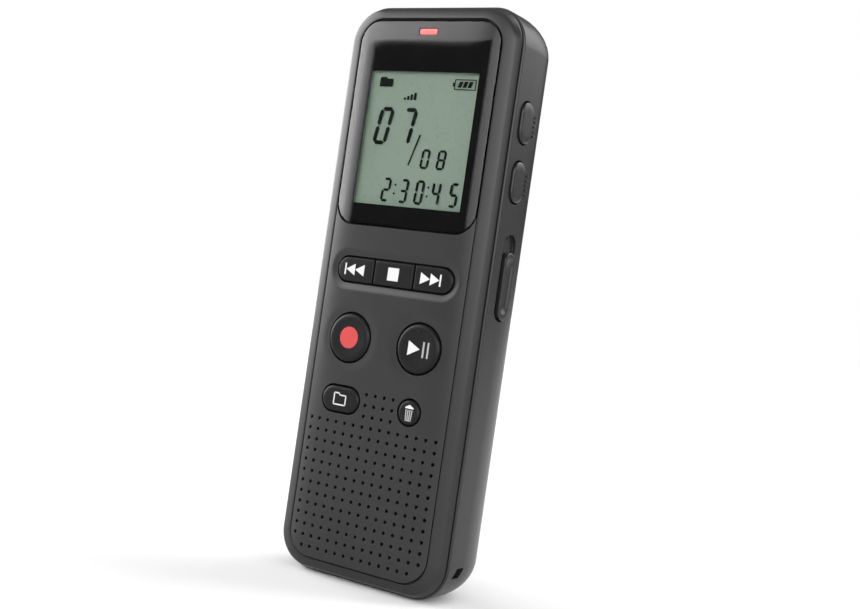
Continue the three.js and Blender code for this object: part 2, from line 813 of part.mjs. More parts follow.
// A side key: domed cap through the wall, a flange inside it and a nose over its switch
function sideKey(drop) {
  const z = bodyHeight - drop;
  const flangeOuter = innerHalf - seam;
  const outline = sideOutline(sideDepth, z, sideKeyHalfWidth, sideKeyHalfLength);
  const face = sideOutline(sideDepth, z, sideKeyHalfWidth - sideKeyBevel,
    sideKeyHalfLength - sideKeyBevel);
  const flange = sideOutline(sideDepth + sideKeyBevel, z, sideKeyHalfWidth + sideKeyBevel,
    sideKeyHalfLength + sideFlangeEnd);
  const nose = circle(crown + sideDepth, z, noseRadius);
  const root = flangeOuter - sideKeyRoot;
  const edge = halfWidth + sideKeyProud - sideKeyCrown;
  return sideSlab(outline, root, edge)
    .add(sideSlab(face, edge - bite, halfWidth + sideKeyProud))
    .add(sideSlab(flange, flangeOuter - flangeThickness, flangeOuter))
    .add(sideSlab(nose, flangeOuter - noseReach, root, dotSteps));
}

function sideSwitch(drop) {
  const z = bodyHeight - drop;
  const front = boardBack + seam;
  const plungerEnd = innerHalf - seam - noseReach - sideTravel - domeClearance;
  const face = plungerEnd - plungerReach;
  const body = block(face - switchWidth, face, front, sideDepth + switchBehindKey,
    z - switchHalfLength, z + switchHalfLength);
  const plunger = circle(crown + sideDepth, z, plungerRadius);
  return body.add(sideSlab(plunger, face - bite, plungerEnd, dotSteps));
}

const knobRest = bodyHeight - slideDrop - slotHalfLength + keyGap + knobHalfLength;

// The slide knob rests at the bottom of its recess and carries a stalk through the wall
function slideKnob() {
  const outline = sideOutline(slideDepth, knobRest, slotHalfWidth - keyGap, knobHalfLength);
  const knobInner = halfWidth - slotSunk + seam;
  const knobOuter = halfWidth + knobProud;
  const scoop = sideOutline(slideDepth, knobRest + scoopRise,
    slotHalfWidth - scoopSideMargin, knobHalfLength - scoopEndMargin);
  const stalk = block(innerHalf - stalkReach, knobInner + bite, slideDepth - stalkHalf,
    slideDepth + stalkHalf, knobRest - stalkHalf, knobRest + stalkHalf);
  return sideSlab(outline, knobInner, knobOuter)
    .subtract(sideSlab(scoop, knobOuter - scoopDepth, knobOuter + past)).add(stalk);
}

function slideSwitch() {
  const front = boardBack + seam;
  const outer = innerHalf - stalkReach - seam;
  const [below, above] = slideSwitchSpan;
  return block(outer - switchWidth, outer, front, slideDepth + slideSwitchBehind,
    knobRest + below, knobRest + above);
}

function jack(side) {
  const x = side * jackOffset;
  const top = bodyHeight - wall - jackBelowWall;
  const body = block(x - jackHalf, x + jackHalf, boardBack + seam, socketDepth + jackHalf,
    top - jackLength, top);
  const floor = top - jackLength + jackFloor;
  const bore = [[0, floor], [jackBore, floor], [jackBore, top + past], [0, top + past]];
  return body.subtract(turned(bore, x, socketDepth, 0, smallSides));
}

function usbSocket() {
  const top = bodyHeight - wall + seam;
  const outer = block(-usbHalfWidth, usbHalfWidth, socketDepth - usbHalfDepth,
    socketDepth + usbHalfDepth, top - usbLength, top);
  const mouth = block(-usbHalfWidth + usbShell, usbHalfWidth - usbShell,
    socketDepth - usbHalfDepth + usbShell, socketDepth + usbHalfDepth - usbShell,
    top - usbLength + usbFloor, top + past);
  const tongue = block(-tongueHalfWidth, tongueHalfWidth, socketDepth - tongueHalfDepth,
    socketDepth + tongueHalfDepth, top - usbLength + usbFloor - bite, top - tongueDrop);
  return outer.subtract(mouth).add(tongue);
}

function screw([x, z]) {
  const head = bar(x, z, screwHeadRadius, headSeat + seam, headSeat + seam + screwHeadHeight);
  const shank = bar(x, z, screwRadius, headSeat + seam - screwLength, headSeat + seam + bite);
  const outer = headSeat + seam + screwHeadHeight;
  const slot = (halfX, halfZ) => block(x - halfX, x + halfX, outer - crossDepth, outer + past,
    z - halfZ, z + halfZ);
  return head.add(shank).subtract(slot(crossHalfLength, crossHalfWidth))
    .subtract(slot(crossHalfWidth, crossHalfLength));
}

const finishes = {
  shell: { color: 0x4a4a4a, roughness: 0.55, metalness: 0 },
  lens: { color: 0x151617, roughness: 0.08, metalness: 0 },
  key: { color: 0x262626, roughness: 0.35, metalness: 0 },
  glass: { color: 0x8ba08e, roughness: 0.2, metalness: 0 },
  red: { color: 0xe8474a, roughness: 0.3, metalness: 0 },
  board: { color: 0x1d5a34, roughness: 0.5, metalness: 0 },
  chip: { color: 0x1a1a1c, roughness: 0.6, metalness: 0 },
  steel: { color: 0xb9bcc0, roughness: 0.3, metalness: 1 },
  nickel: { color: 0xc9c6bd, roughness: 0.35, metalness: 1 },
  rubber: { color: 0x2a2a2a, roughness: 0.9, metalness: 0 },
  film: { color: 0xd8d6cf, roughness: 0.5, metalness: 0 },
  cell: { color: 0x34383d, roughness: 0.3, metalness: 0.4 },
};

const recorder = new THREE.Group();
recorder.name = 'voice_recorder';

function place(name, solid, finish) {
  const { vertProperties, triVerts, numProp } = solid.getMesh();
  const geometry = new THREE.BufferGeometry();
  geometry.setAttribute('position', new THREE.BufferAttribute(vertProperties, numProp));
  geometry.setIndex(new THREE.BufferAttribute(triVerts, 1));
  geometry.computeVertexNormals();
  const mesh = new THREE.Mesh(geometry, new THREE.MeshStandardMaterial(finishes[finish]));
  mesh.name = name;
  recorder.add(mesh);
}

place('front_cover', frontCover(), 'shell');
place('rear_shell', rearShell(), 'shell');
place('battery_door', batteryDoor(), 'shell');
place('display_lens', displayLens(), 'lens');
place('lcd_glass', lcdGlass(), 'glass');
place('lcd_tray', lcdTray(), 'film');
place('zebra_strip', zebraStrip(), 'rubber');
place('light_guide', lightGuide(), 'red');
place('status_led', statusLed(), 'film');
place('main_board', mainBoard(), 'board');
place('dome_sheet', domeSheet(), 'film');
place('processor_chip', processorChip(), 'chip');
place('memory_chip', memoryChip(), 'chip');
place('crystal_can', crystalCan(), 'nickel');
place('power_coil', powerCoil(), 'chip');
Object.entries(keys).forEach(([name, layout]) => place(name, panelKey(layout), 'key'));
Object.entries(stripKeys).forEach(([name, span]) => place(name, stripKey(span), 'key'));
place('upper_side_key', sideKey(sideKeyDrops[0]), 'shell');
place('lower_side_key', sideKey(sideKeyDrops[1]), 'shell');
place('upper_side_switch', sideSwitch(sideKeyDrops[0]), 'chip');
place('lower_side_switch', sideSwitch(sideKeyDrops[1]), 'chip');
place('slide_knob', slideKnob(), 'shell');
place('slide_switch', slideSwitch(), 'nickel');
place('grille_cloth', grilleCloth(), 'rubber');
place('speaker_driver', speakerDriver(), 'steel');
place('speaker_cone', speakerCone(), 'film');
place('microphone_capsule', microphoneCapsule(), 'nickel');
place('microphone_boot', microphoneBoot(), 'rubber');
place('headphone_jack', jack(-1), 'chip');
place('microphone_jack', jack(1), 'chip');
place('usb_socket', usbSocket(), 'nickel');
place('left_cell', cell(-1), 'cell');
place('right_cell', cell(1), 'cell');
place('bridge_contact', contact(false, [-1, 1]), 'nickel');
place('positive_contact', contact(true, [-1]), 'nickel');
place('negative_contact', contact(true, [1]), 'nickel');
bossSpots.forEach((spot, index) => place(`case_screw_${index + 1}`, screw(spot), 'steel'));

export default recorder;
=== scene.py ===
import math

import bmesh
import bpy
from mathutils import Matrix, Vector


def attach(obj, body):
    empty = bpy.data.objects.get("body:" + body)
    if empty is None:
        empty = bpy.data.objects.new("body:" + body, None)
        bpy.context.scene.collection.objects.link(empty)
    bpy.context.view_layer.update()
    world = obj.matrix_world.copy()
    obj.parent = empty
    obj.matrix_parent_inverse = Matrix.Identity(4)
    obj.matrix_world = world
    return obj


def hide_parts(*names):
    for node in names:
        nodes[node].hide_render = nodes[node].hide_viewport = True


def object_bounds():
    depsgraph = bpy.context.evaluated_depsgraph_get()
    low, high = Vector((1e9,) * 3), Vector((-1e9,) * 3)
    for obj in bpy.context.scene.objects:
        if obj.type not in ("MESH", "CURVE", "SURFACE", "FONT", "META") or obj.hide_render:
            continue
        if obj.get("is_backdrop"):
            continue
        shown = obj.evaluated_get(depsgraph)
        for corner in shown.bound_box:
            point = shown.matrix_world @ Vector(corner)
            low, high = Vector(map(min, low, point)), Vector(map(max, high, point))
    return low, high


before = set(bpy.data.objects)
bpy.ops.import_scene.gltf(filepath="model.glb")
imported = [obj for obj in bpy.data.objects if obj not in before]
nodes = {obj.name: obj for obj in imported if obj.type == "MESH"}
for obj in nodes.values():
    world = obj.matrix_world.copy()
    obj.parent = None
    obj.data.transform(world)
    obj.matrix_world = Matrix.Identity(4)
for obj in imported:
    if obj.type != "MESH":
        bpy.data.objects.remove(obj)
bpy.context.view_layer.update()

# The recorder is built in the order it is put together. Lengths are in millimetres until a mesh is made:
# x runs across the case, z up its length, and a depth is measured back from the front crown.

# Rear case: one deep moulding in dark grey ABS with a fine even grain, open towards the front cover.
# Its back edge is a long soft round, and a small round breaks its lip where the two halves meet.
MM = 0.001
HEIGHT = 107.9
HALF_WIDTH = 18.8
DEPTH = 19.0
CORNER = 7.1
WALL = 1.5
LIP = 3.2
BACK_ROUND = 11.0
BACK_INSET = 6.0
BACK_STEPS = 12
BACK_EDGE = 0.4
CORNER_STEPS = 14


def in_metres(x, depth, z):
    return (x * MM, (depth - DEPTH / 2) * MM, z * MM)


def rounded(x0, x1, z0, z1, radius, steps=CORNER_STEPS):
    corners = (
        (x1 - radius, z0 + radius, -90),
        (x1 - radius, z1 - radius, 0),
        (x0 + radius, z1 - radius, 90),
        (x0 + radius, z0 + radius, 180),
    )
    outline = []
    for centre_x, centre_z, start in corners:
        for step in range(steps + 1):
            turn = math.radians(start + 90 * step / steps)
            outline.append((centre_x + radius * math.cos(turn), centre_z + radius * math.sin(turn)))
    return outline


def case_outline(inset):
    return rounded(-HALF_WIDTH + inset, HALF_WIDTH - inset, inset, HEIGHT - inset, CORNER - inset)


def at_depth(outline, depth):
    return [(x, depth, z) for x, z in outline]


def on_side(outline, x):
    return [(x, depth, z) for depth, z in outline]


def loft(rings):
    count = len(rings[0])
    points = [point for ring in rings for point in ring]
    faces = []
    for row in range(len(rings) - 1):
        for i in range(count):
            a = row * count + i
            b = row * count + (i + 1) % count
            faces.append((a, b, b + count, a + count))
    faces.append(tuple(reversed(range(count))))
    faces.append(tuple(range((len(rings) - 1) * count, len(rings) * count)))
    return points, faces


def prism(outline, depth0, depth1):
    return loft([at_depth(outline, depth0), at_depth(outline, depth1)])


def block(x0, x1, depth0, depth1, z0, z1):
    return prism([(x0, z0), (x1, z0), (x1, z1), (x0, z1)], depth0, depth1)


def circle(x, z, radius, steps=32):
    turns = [2 * math.pi * step / steps for step in range(steps)]
    return [(x + radius * math.cos(turn), z + radius * math.sin(turn)) for turn in turns]


def pegs(spots, radius, depth0, depth1, steps=32):
    return together(*[prism(circle(x, z, radius, steps), depth0, depth1) for x, z in spots])


def together(*shapes):
    points = []
    faces = []
    for more_points, more_faces in shapes:
        start = len(points)
        points.extend(more_points)
        faces.extend(tuple(i + start for i in face) for face in more_faces)
    return points, faces


def as_object(name, shape):
    points, faces = shape
    mesh = bpy.data.meshes.new(name)
    mesh.from_pydata([in_metres(*point) for point in points], [], faces)
    work = bmesh.new()
    work.from_mesh(mesh)
    bmesh.ops.recalc_face_normals(work, faces=work.faces)
    work.to_mesh(mesh)
    work.free()
    piece = bpy.data.objects.new(name, mesh)
    bpy.context.scene.collection.objects.link(piece)
    return piece


def carve(piece, shape, operation="DIFFERENCE"):
    tool = as_object("tool", shape)
    step = piece.modifiers.new("carve", "BOOLEAN")
    step.operation = operation
    step.solver = "EXACT"
    step.object = tool
    graph = bpy.context.evaluated_depsgraph_get()
    carved = bpy.data.meshes.new_from_object(piece.evaluated_get(graph))
    piece.modifiers.clear()
    piece.data = carved
    bpy.data.objects.remove(tool)
    return piece


def assemble(piece, body, finish, stands_for=(), sharp=32):
    mesh = piece.data
    work = bmesh.new()
    work.from_mesh(mesh)
    bmesh.ops.remove_doubles(work, verts=work.verts, dist=1e-7)
    bmesh.ops.dissolve_degenerate(work, edges=work.edges, dist=1e-7)
    work.to_mesh(mesh)
    work.free()
    mesh.polygons.foreach_set("use_smooth", [True] * len(mesh.polygons))
    mesh.set_sharp_from_angle(angle=math.radians(sharp))
    weigh = piece.modifiers.new("even_shading", "WEIGHTED_NORMAL")
    weigh.keep_sharp = True
    mesh.materials.clear()
    mesh.materials.append(finish)
    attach(piece, body)
    if stands_for:
        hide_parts(*stands_for)
    return piece


def make_finish(name, colour, roughness, grain, relief, **more):
    """A finish with a cloudy tint, a fine grain in its height and gloss, and edges painted lighter, partly as
    rub wear and partly as a painted highlight.
    """
    finish = bpy.data.materials.new(name)
    finish.use_nodes = True
    tree = finish.node_tree
    shader = tree.nodes["Principled BSDF"]
    place = tree.nodes.new("ShaderNodeTexCoord").outputs["Object"]

    def noise(scale, detail):
        node = tree.nodes.new("ShaderNodeTexNoise")
        node.inputs["Scale"].default_value = scale
        node.inputs["Detail"].default_value = detail
        tree.links.new(place, node.inputs["Vector"])
        return node.outputs["Fac"]

    def spread(value, low, high, start=0.3, end=0.7):
        node = tree.nodes.new("ShaderNodeMapRange")
        node.inputs["From Min"].default_value = start
        node.inputs["From Max"].default_value = end
        node.inputs["To Min"].default_value = low
        node.inputs["To Max"].default_value = high
        tree.links.new(value, node.inputs["Value"])
        return node.outputs["Result"]

    def blend(share, first, second):
        node = tree.nodes.new("ShaderNodeMix")
        node.data_type = "RGBA"
        for socket, value in ((6, first), (7, second)):
            if isinstance(value, tuple):
                node.inputs[socket].default_value = value
            else:
                tree.links.new(value, node.inputs[socket])
        tree.links.new(share, node.inputs[0])
        return node.outputs[2]

    tint = more.get("tint", 0.12)
    dark = tuple(part * (1 - tint) for part in colour) + (1,)
    light = tuple(min(1, part * (1 + tint)) for part in colour) + (1,)
    base = blend(spread(noise(more.get("cloud", 90), 3), 0, 1), dark, light)
    fine = noise(grain, 2)
    bump = tree.nodes.new("ShaderNodeBump")
    bump.inputs["Strength"].default_value = 1
    bump.inputs["Distance"].default_value = relief * MM
    tree.links.new(fine, bump.inputs["Height"])
    # Where the rounded Bevel normal turns from the true normal, the colour is painted lighter: partly rub
    # wear, partly a painted highlight on the edge.
    wear = more.get("wear", 0)
    if wear:
        soft = tree.nodes.new("ShaderNodeBevel")
        soft.samples = 4
        soft.inputs["Radius"].default_value = more.get("edge", 0.15) * MM
        flat = tree.nodes.new("ShaderNodeNewGeometry")
        turned = tree.nodes.new("ShaderNodeVectorMath")
        turned.operation = "DOT_PRODUCT"
        tree.links.new(soft.outputs["Normal"], turned.inputs[0])
        tree.links.new(flat.outputs["Normal"], turned.inputs[1])
        rubbed_and_highlit = spread(turned.outputs["Value"], wear, 0, 0.75, 0.99)
        worn_and_highlit_colour = tuple(min(1, part * 2.2 + 0.03) for part in colour) + (1,)
        base = blend(rubbed_and_highlit, base, worn_and_highlit_colour)
        tree.links.new(soft.outputs["Normal"], bump.inputs["Normal"])
    tree.links.new(base, shader.inputs["Base Color"])
    tree.links.new(bump.outputs["Normal"], shader.inputs["Normal"])
    gloss = more.get("gloss", 0.06)
    rough = spread(fine, roughness - gloss, min(1, roughness + gloss))
    tree.links.new(rough, shader.inputs["Roughness"])
    shader.inputs["Metallic"].default_value = more.get("metal", 0.0)
    shader.inputs["Specular IOR Level"].default_value = more.get("shine", 0.5)
    shader.inputs["Coat Weight"].default_value = more.get("coat", 0.0)
    shader.inputs["Coat Roughness"].default_value = more.get("coat_rough", 0.1)
    return finish


# The case edges are painted a little lighter: rub wear together with a painted edge highlight.
case_plastic = make_finish("case_plastic", (0.010, 0.010, 0.0104), 0.32, 4200, 0.006, wear=0.35,
                           gloss=0.03, shine=0.34)

inner_rounds = ((4.5, 0), (1.6, 1.2), (0, 5))
lip_rounds = ((LIP, 0.34), (LIP + 0.06, 0.16), (LIP + 0.18, 0.05), (LIP + 0.36, 0.0))
rings = [at_depth(case_outline(WALL + inset), DEPTH - WALL - forward) for inset, forward in inner_rounds]
rings.append(at_depth(case_outline(WALL), LIP))
rings += [at_depth(case_outline(inset), depth) for depth, inset in lip_rounds]
for step in range(BACK_STEPS + 1):
    turn = math.radians(90 * step / BACK_STEPS)
    inset = BACK_INSET * (1 - math.cos(turn))
    rings.append(at_depth(case_outline(inset), DEPTH - BACK_ROUND * (1 - math.sin(turn))))
rings.append(at_depth(case_outline(BACK_INSET + BACK_EDGE), DEPTH))
rear_case = as_object("rear_case", loft(rings))


FLOOR_FRONT, FLOOR_BACK = 6.1, 6.7
BAY_HALF, BAY_BOTTOM, BAY_TOP, BAY_WALL = 11.2, 12.0, 61.7, 1.0
DOOR_HALF, DOOR_BOTTOM, DOOR_TOP, DOOR_FRONT = 12.5, 8.5, 63.0, 17.8
DOOR_CORNER = 1.6
DOOR_MARGIN = 1.0
SEAT_FRONT, SEAT_FACE, SEAT_BACK = 16.3, 17.5, 17.7
GAP = 0.3
HOOK_SPOTS = (-7, 7)
HOOK_ROOM_HALF = 2.5
SCREW_SPOTS = ((-15.2, 17.0), (15.2, 17.0), (-15.2, 100.9), (15.2, 100.9))
SCREW_SEAT = 14.0
SCREW_HEAD_ROOM = 1.7
SCREW_SHANK_ROOM = 1.0
POST_RADIUS, POST_FRONT, POST_BACK = 1.9, 8.3, 15.2
OUTSIDE = 22.0
WALL_INSIDE = 16.3
SIDE_KEY_DEPTH = 7.4
SIDE_KEY_HEIGHTS = (87.8, 77.0)
SIDE_KEY_ROOM = (2.45, 4.05)
SLIDE_DEPTH, SLIDE_HEIGHT, SLIDE_FLOOR = 8.3, 59.65, 18.0
SLIDE_ROOM = (2.4, 8.0)
SLIDE_SLOT = (1.3, 3.6)
SOCKET_DEPTH = 8.7
SOCKET_ROOM_FOOT, SOCKET_ROOM_TOP = HEIGHT - 2.5, HEIGHT + 1
JACK_SPOTS = (-9.3, 9.3)
JACK_BORE = 1.8
PORT_ROOM_HALF, PORT_ROOM_DEEP, PORT_ROOM_CORNER = 4.2, 2.3, 0.9
STRAP_REACH = 14.8


def pill(x, z, half_x, half_z, steps=CORNER_STEPS):
    radius = min(half_x, half_z) - 0.02
    return rounded(x - half_x, x + half_x, z - half_z, z + half_z, radius, steps)


def through_side(outline, x0, x1):
    return loft([on_side(outline, x0), on_side(outline, x1)])


def through_top(outline, z0, z1):
    return loft([[(x, depth, z) for x, depth in outline] for z in (z0, z1)])


def door_outline(extra):
    return rounded(-DOOR_HALF - extra, DOOR_HALF + extra, DOOR_BOTTOM - extra, DOOR_TOP + extra,
                   DOOR_CORNER + extra, 6)


bay_edge = BAY_HALF + BAY_WALL
carve(rear_case, block(-bay_edge, bay_edge, FLOOR_FRONT, SEAT_BACK, BAY_BOTTOM - BAY_WALL,
                       BAY_TOP + BAY_WALL), "UNION")
carve(rear_case, prism(door_outline(DOOR_MARGIN), SEAT_FRONT, SEAT_BACK), "UNION")
carve(rear_case, pegs(SCREW_SPOTS, POST_RADIUS, POST_FRONT, POST_BACK), "UNION")
carve(rear_case, block(-BAY_HALF, BAY_HALF, FLOOR_BACK, OUTSIDE, BAY_BOTTOM, BAY_TOP))
carve(rear_case, prism(door_outline(GAP), SEAT_FACE, OUTSIDE))
hook_rooms = [block(x - HOOK_ROOM_HALF, x + HOOK_ROOM_HALF, 15.3, 17.6, 5.1, 12.1) for x in HOOK_SPOTS]
carve(rear_case, together(*hook_rooms))
carve(rear_case, pegs(SCREW_SPOTS, SCREW_SHANK_ROOM, 7.0, 15.0))
carve(rear_case, pegs(SCREW_SPOTS, SCREW_HEAD_ROOM, SCREW_SEAT, OUTSIDE))
key_rooms = []
for z in SIDE_KEY_HEIGHTS:
    key_rooms.append(through_side(pill(SIDE_KEY_DEPTH, z, *SIDE_KEY_ROOM), WALL_INSIDE, OUTSIDE))
carve(rear_case, together(*key_rooms))
carve(rear_case, through_side(pill(SLIDE_DEPTH, SLIDE_HEIGHT, *SLIDE_ROOM), SLIDE_FLOOR, OUTSIDE))
carve(rear_case, through_side(pill(SLIDE_DEPTH, SLIDE_HEIGHT, *SLIDE_SLOT, 4), WALL_INSIDE, 18.4))
mouths = [circle(x, SOCKET_DEPTH, JACK_BORE) for x in JACK_SPOTS]
mouths.append(rounded(-PORT_ROOM_HALF, PORT_ROOM_HALF, SOCKET_DEPTH - PORT_ROOM_DEEP,
                      SOCKET_DEPTH + PORT_ROOM_DEEP, PORT_ROOM_CORNER, 5))
carve(rear_case, together(*[through_top(mouth, SOCKET_ROOM_FOOT, SOCKET_ROOM_TOP) for mouth in mouths]))
strap_side = ((5.0, 4.9), (7.4, 4.9), (8.5, 6.8), (6.1, 6.8))
carve(rear_case, through_side(strap_side, STRAP_REACH, OUTSIDE))
carve(rear_case, through_top(rounded(10.4, 12.4, 12.0, 15.8, 0.3, 3), -1, 6.8))
assemble(rear_case, "case", case_plastic, ("rear_shell",))


# Works: a green fibreglass board with its chips and switches, the contact sheet, loudspeaker and microphone.
# They keep their solids, and only their surfaces are finished here.
def finish_nodes(finish, *names):
    for name in names:
        for holder in nodes[name].material_slots:
            holder.material = finish


board_lacquer = make_finish("board_lacquer", (0.012, 0.105, 0.040), 0.34, 1500, 0.012, tint=0.3, cloud=400)
chip_epoxy = make_finish("chip_epoxy", (0.013, 0.013, 0.015), 0.55, 6000, 0.006, tint=0.2)
tinned_can = make_finish("tinned_can", (0.60, 0.59, 0.55), 0.3, 1800, 0.004, metal=1.0, tint=0.08)
ferrite = make_finish("ferrite", (0.035, 0.033, 0.032), 0.7, 5000, 0.015, tint=0.25)
switch_nylon = make_finish("switch_nylon", (0.03, 0.03, 0.032), 0.5, 3500, 0.008)
dome_film = make_finish("dome_film", (0.62, 0.60, 0.54), 0.28, 900, 0.006, tint=0.06)
tray_nylon = make_finish("tray_nylon", (0.66, 0.66, 0.62), 0.45, 2500, 0.01, tint=0.06)
soft_rubber = make_finish("soft_rubber", (0.022, 0.022, 0.023), 0.82, 2600, 0.02, tint=0.2)
woven_cloth = make_finish("woven_cloth", (0.010, 0.010, 0.011), 0.9, 5200, 0.04, tint=0.5, cloud=5000)
paper_cone = make_finish("paper_cone", (0.03, 0.028, 0.026), 0.85, 1600, 0.05, tint=0.3, cloud=900)
plated_steel = make_finish("plated_steel", (0.58, 0.57, 0.55), 0.32, 2200, 0.006, metal=1.0, tint=0.1)
finish_nodes(board_lacquer, "main_board")
finish_nodes(chip_epoxy, "processor_chip", "memory_chip")
finish_nodes(tinned_can, "crystal_can")
finish_nodes(ferrite, "power_coil")
finish_nodes(switch_nylon, "upper_side_switch", "lower_side_switch", "slide_switch")
finish_nodes(dome_film, "dome_sheet")
finish_nodes(tray_nylon, "lcd_tray", "status_led")
finish_nodes(soft_rubber, "zebra_strip", "microphone_boot")
finish_nodes(woven_cloth, "grille_cloth")
finish_nodes(paper_cone, "speaker_cone")
finish_nodes(plated_steel, "speaker_driver", "microphone_capsule")


# Sockets: two plated jacks for 3.5 mm plugs and a small plated data port.
# They stand behind the top end wall, under their openings.
def spun(profile, x, depth, steps=32):
    rings = []
    for radius, z in profile:
        rings.append([(a, b, z) for a, b in circle(x, depth, radius, steps)])
    return loft(rings)


jack_profile = (
    (2.7, 93.9), (2.75, 94.1), (2.75, 105.6), (2.6, 105.75), (1.95, 105.75), (1.75, 105.6), (1.72, 97.0),
    (1.72, 95.4),
)
for x, name in zip(JACK_SPOTS, ("headphone_jack", "microphone_jack")):
    jack = as_object(name + "_barrel", spun(jack_profile, x, SOCKET_DEPTH))
    assemble(jack, "case", plated_steel, (name,))
port_profile = (
    (3.9, 2.0, 0.7, 99.4), (3.9, 2.0, 0.7, 106.35), (3.8, 1.9, 0.6, 106.4), (3.55, 1.65, 0.5, 106.4),
    (3.5, 1.6, 0.5, 106.2), (3.5, 1.6, 0.5, 100.4),
)
port_rings = []
for half, deep, corner, z in port_profile:
    outline = rounded(-half, half, SOCKET_DEPTH - deep, SOCKET_DEPTH + deep, corner, 5)
    port_rings.append([(x, depth, z) for x, depth in outline])
data_port = as_object("data_port", loft(port_rings))
carve(data_port, block(-2.6, 2.6, SOCKET_DEPTH - 0.4, SOCKET_DEPTH + 0.4, 100.0, 105.4), "UNION")
assemble(data_port, "case", plated_steel, ("usb_socket",))


# Display: a green-grey reflective LCD cell, with its dark segments drawn as thin shapes just in front of it.
# The figures are plain counters; the small marks are a folder, a level and a cell symbol.
FIGURE_LAYER = 1.62
FIGURE_THICKNESS = 0.08
SEGMENT_TRIM = 0.12
FRAME_LINE = 0.14
DOT_RADIUS = 0.2
GLASS_HALF, GLASS_FOOT, GLASS_TOP = 13.2, 68.05, 97.3
SEGMENT_ENDS = {
    "a": ((0, 2), (1, 2)),
    "b": ((1, 2), (1, 1)),
    "c": ((1, 1), (1, 0)),
    "d": ((0, 0), (1, 0)),
    "e": ((0, 1), (0, 0)),
    "f": ((0, 2), (0, 1)),
    "g": ((0, 1), (1, 1)),
}
LIT_SEGMENTS = {
    "0": "abcdef",
    "2": "abdeg",
    "3": "abcdg",
    "4": "bcfg",
    "5": "acdfg",
    "7": "abc",
    "8": "abcdefg",
}


def stroke(start, end, width, trim):
    length = math.dist(start, end)
    along = ((end[0] - start[0]) / length, (end[1] - start[1]) / length)
    across = (-along[1] * width / 2, along[0] * width / 2)
    point = width / 2
    outline = []
    for far, side in ((trim, 0), (trim + point, 1), (length - trim - point, 1), (length - trim, 0),
                      (length - trim - point, -1), (trim + point, -1)):
        outline.append((start[0] + along[0] * far + across[0] * side,
                        start[1] + along[1] * far + across[1] * side))
    return outline


def figure(digit, x, z, width, height, lean, weight):
    strokes = []
    for name in LIT_SEGMENTS[digit]:
        ends = []
        for across, level in SEGMENT_ENDS[name]:
            rise = weight / 2 + level * (height - weight) / 2
            ends.append((x + weight / 2 + across * (width - weight) + lean * rise, z + rise))
        strokes.append(stroke(ends[0], ends[1], weight, weight * SEGMENT_TRIM))
    return strokes


def thin(outlines, depth, thickness):
    return together(*[prism(outline, depth, depth + thickness) for outline in outlines])


shown = []
# Each row: its digits and where they start, then their foot, width, height, lean and weight
figure_rows = (
    ((("0", -9.95), ("7", -4.7)), 81.4, 3.1, 7.1, 0.165, 0.74),
    ((("0", 1.45), ("8", 4.95)), 77.4, 1.8, 3.65, 0.085, 0.42),
    ((("2", -6.25), ("3", -2.3), ("0", 1.15), ("4", 4.75), ("5", 8.55)), 70.8, 1.85, 4.5, 0.075, 0.48),
)
for digits, foot, width, tall, lean, weight in figure_rows:
    for digit, x in digits:
        shown += figure(digit, x, foot, width, tall, lean, weight)
slash = [(-1.2, 77.9), (-0.92, 77.9), (0.82, 83.6), (0.54, 83.6)]
shown.append(slash)
for x, z in ((-3.3, 72.45), (-3.2, 74.1), (4.0, 72.45), (4.12, 74.1)):
    shown.append(circle(x, z, DOT_RADIUS, 10))
folder_mark = [(-10.0, 92.35), (-7.05, 92.35), (-7.05, 93.85), (-8.35, 93.85), (-8.6, 94.15), (-9.75, 94.15),
               (-10.0, 93.85)]
shown.append(folder_mark)
for bar in range(4):
    left = -4.1 + bar * 0.75
    right = left + 0.42
    tip = 90.4 + bar * 0.32
    shown.append([(left, 90.0), (right, 90.0), (right, tip), (left, tip)])
for bar in range(3):
    left = 7.25 + bar * 1.05
    shown.append([(left, 92.62), (left + 0.7, 92.62), (left + 1.05, 93.7), (left + 0.35, 93.7)])
cell_frame = ((6.6, 92.25), (10.95, 92.25), (10.95, 94.05), (6.6, 94.05))
for i in range(4):
    shown.append(stroke(cell_frame[i], cell_frame[(i + 1) % 4], FRAME_LINE, 0.0))
cell_tip = [(6.2, 92.8), (6.6, 92.8), (6.6, 93.5), (6.2, 93.5)]
shown.append(cell_tip)

lcd_glass_face = make_finish("lcd_glass_face", (0.208, 0.278, 0.217), 0.32, 2400, 0.002, tint=0.05, cloud=45)
glass_rings = []
for inset, depth in ((0.0, 3.4), (0.0, 1.9), (0.1, 1.8)):
    outline = rounded(-GLASS_HALF + inset, GLASS_HALF - inset, GLASS_FOOT + inset, GLASS_TOP - inset, 0.3, 3)
    glass_rings.append(at_depth(outline, depth))
lcd_cell = as_object("lcd_cell", loft(glass_rings))
assemble(lcd_cell, "case", lcd_glass_face, ("lcd_glass",))
segment_ink = make_finish("segment_ink", (0.004, 0.008, 0.005), 0.6, 3000, 0.001, tint=0.15, shine=0.0)
segments = as_object("lcd_segments", thin(shown, FIGURE_LAYER, FIGURE_THICKNESS))
assemble(segments, "case", segment_ink)


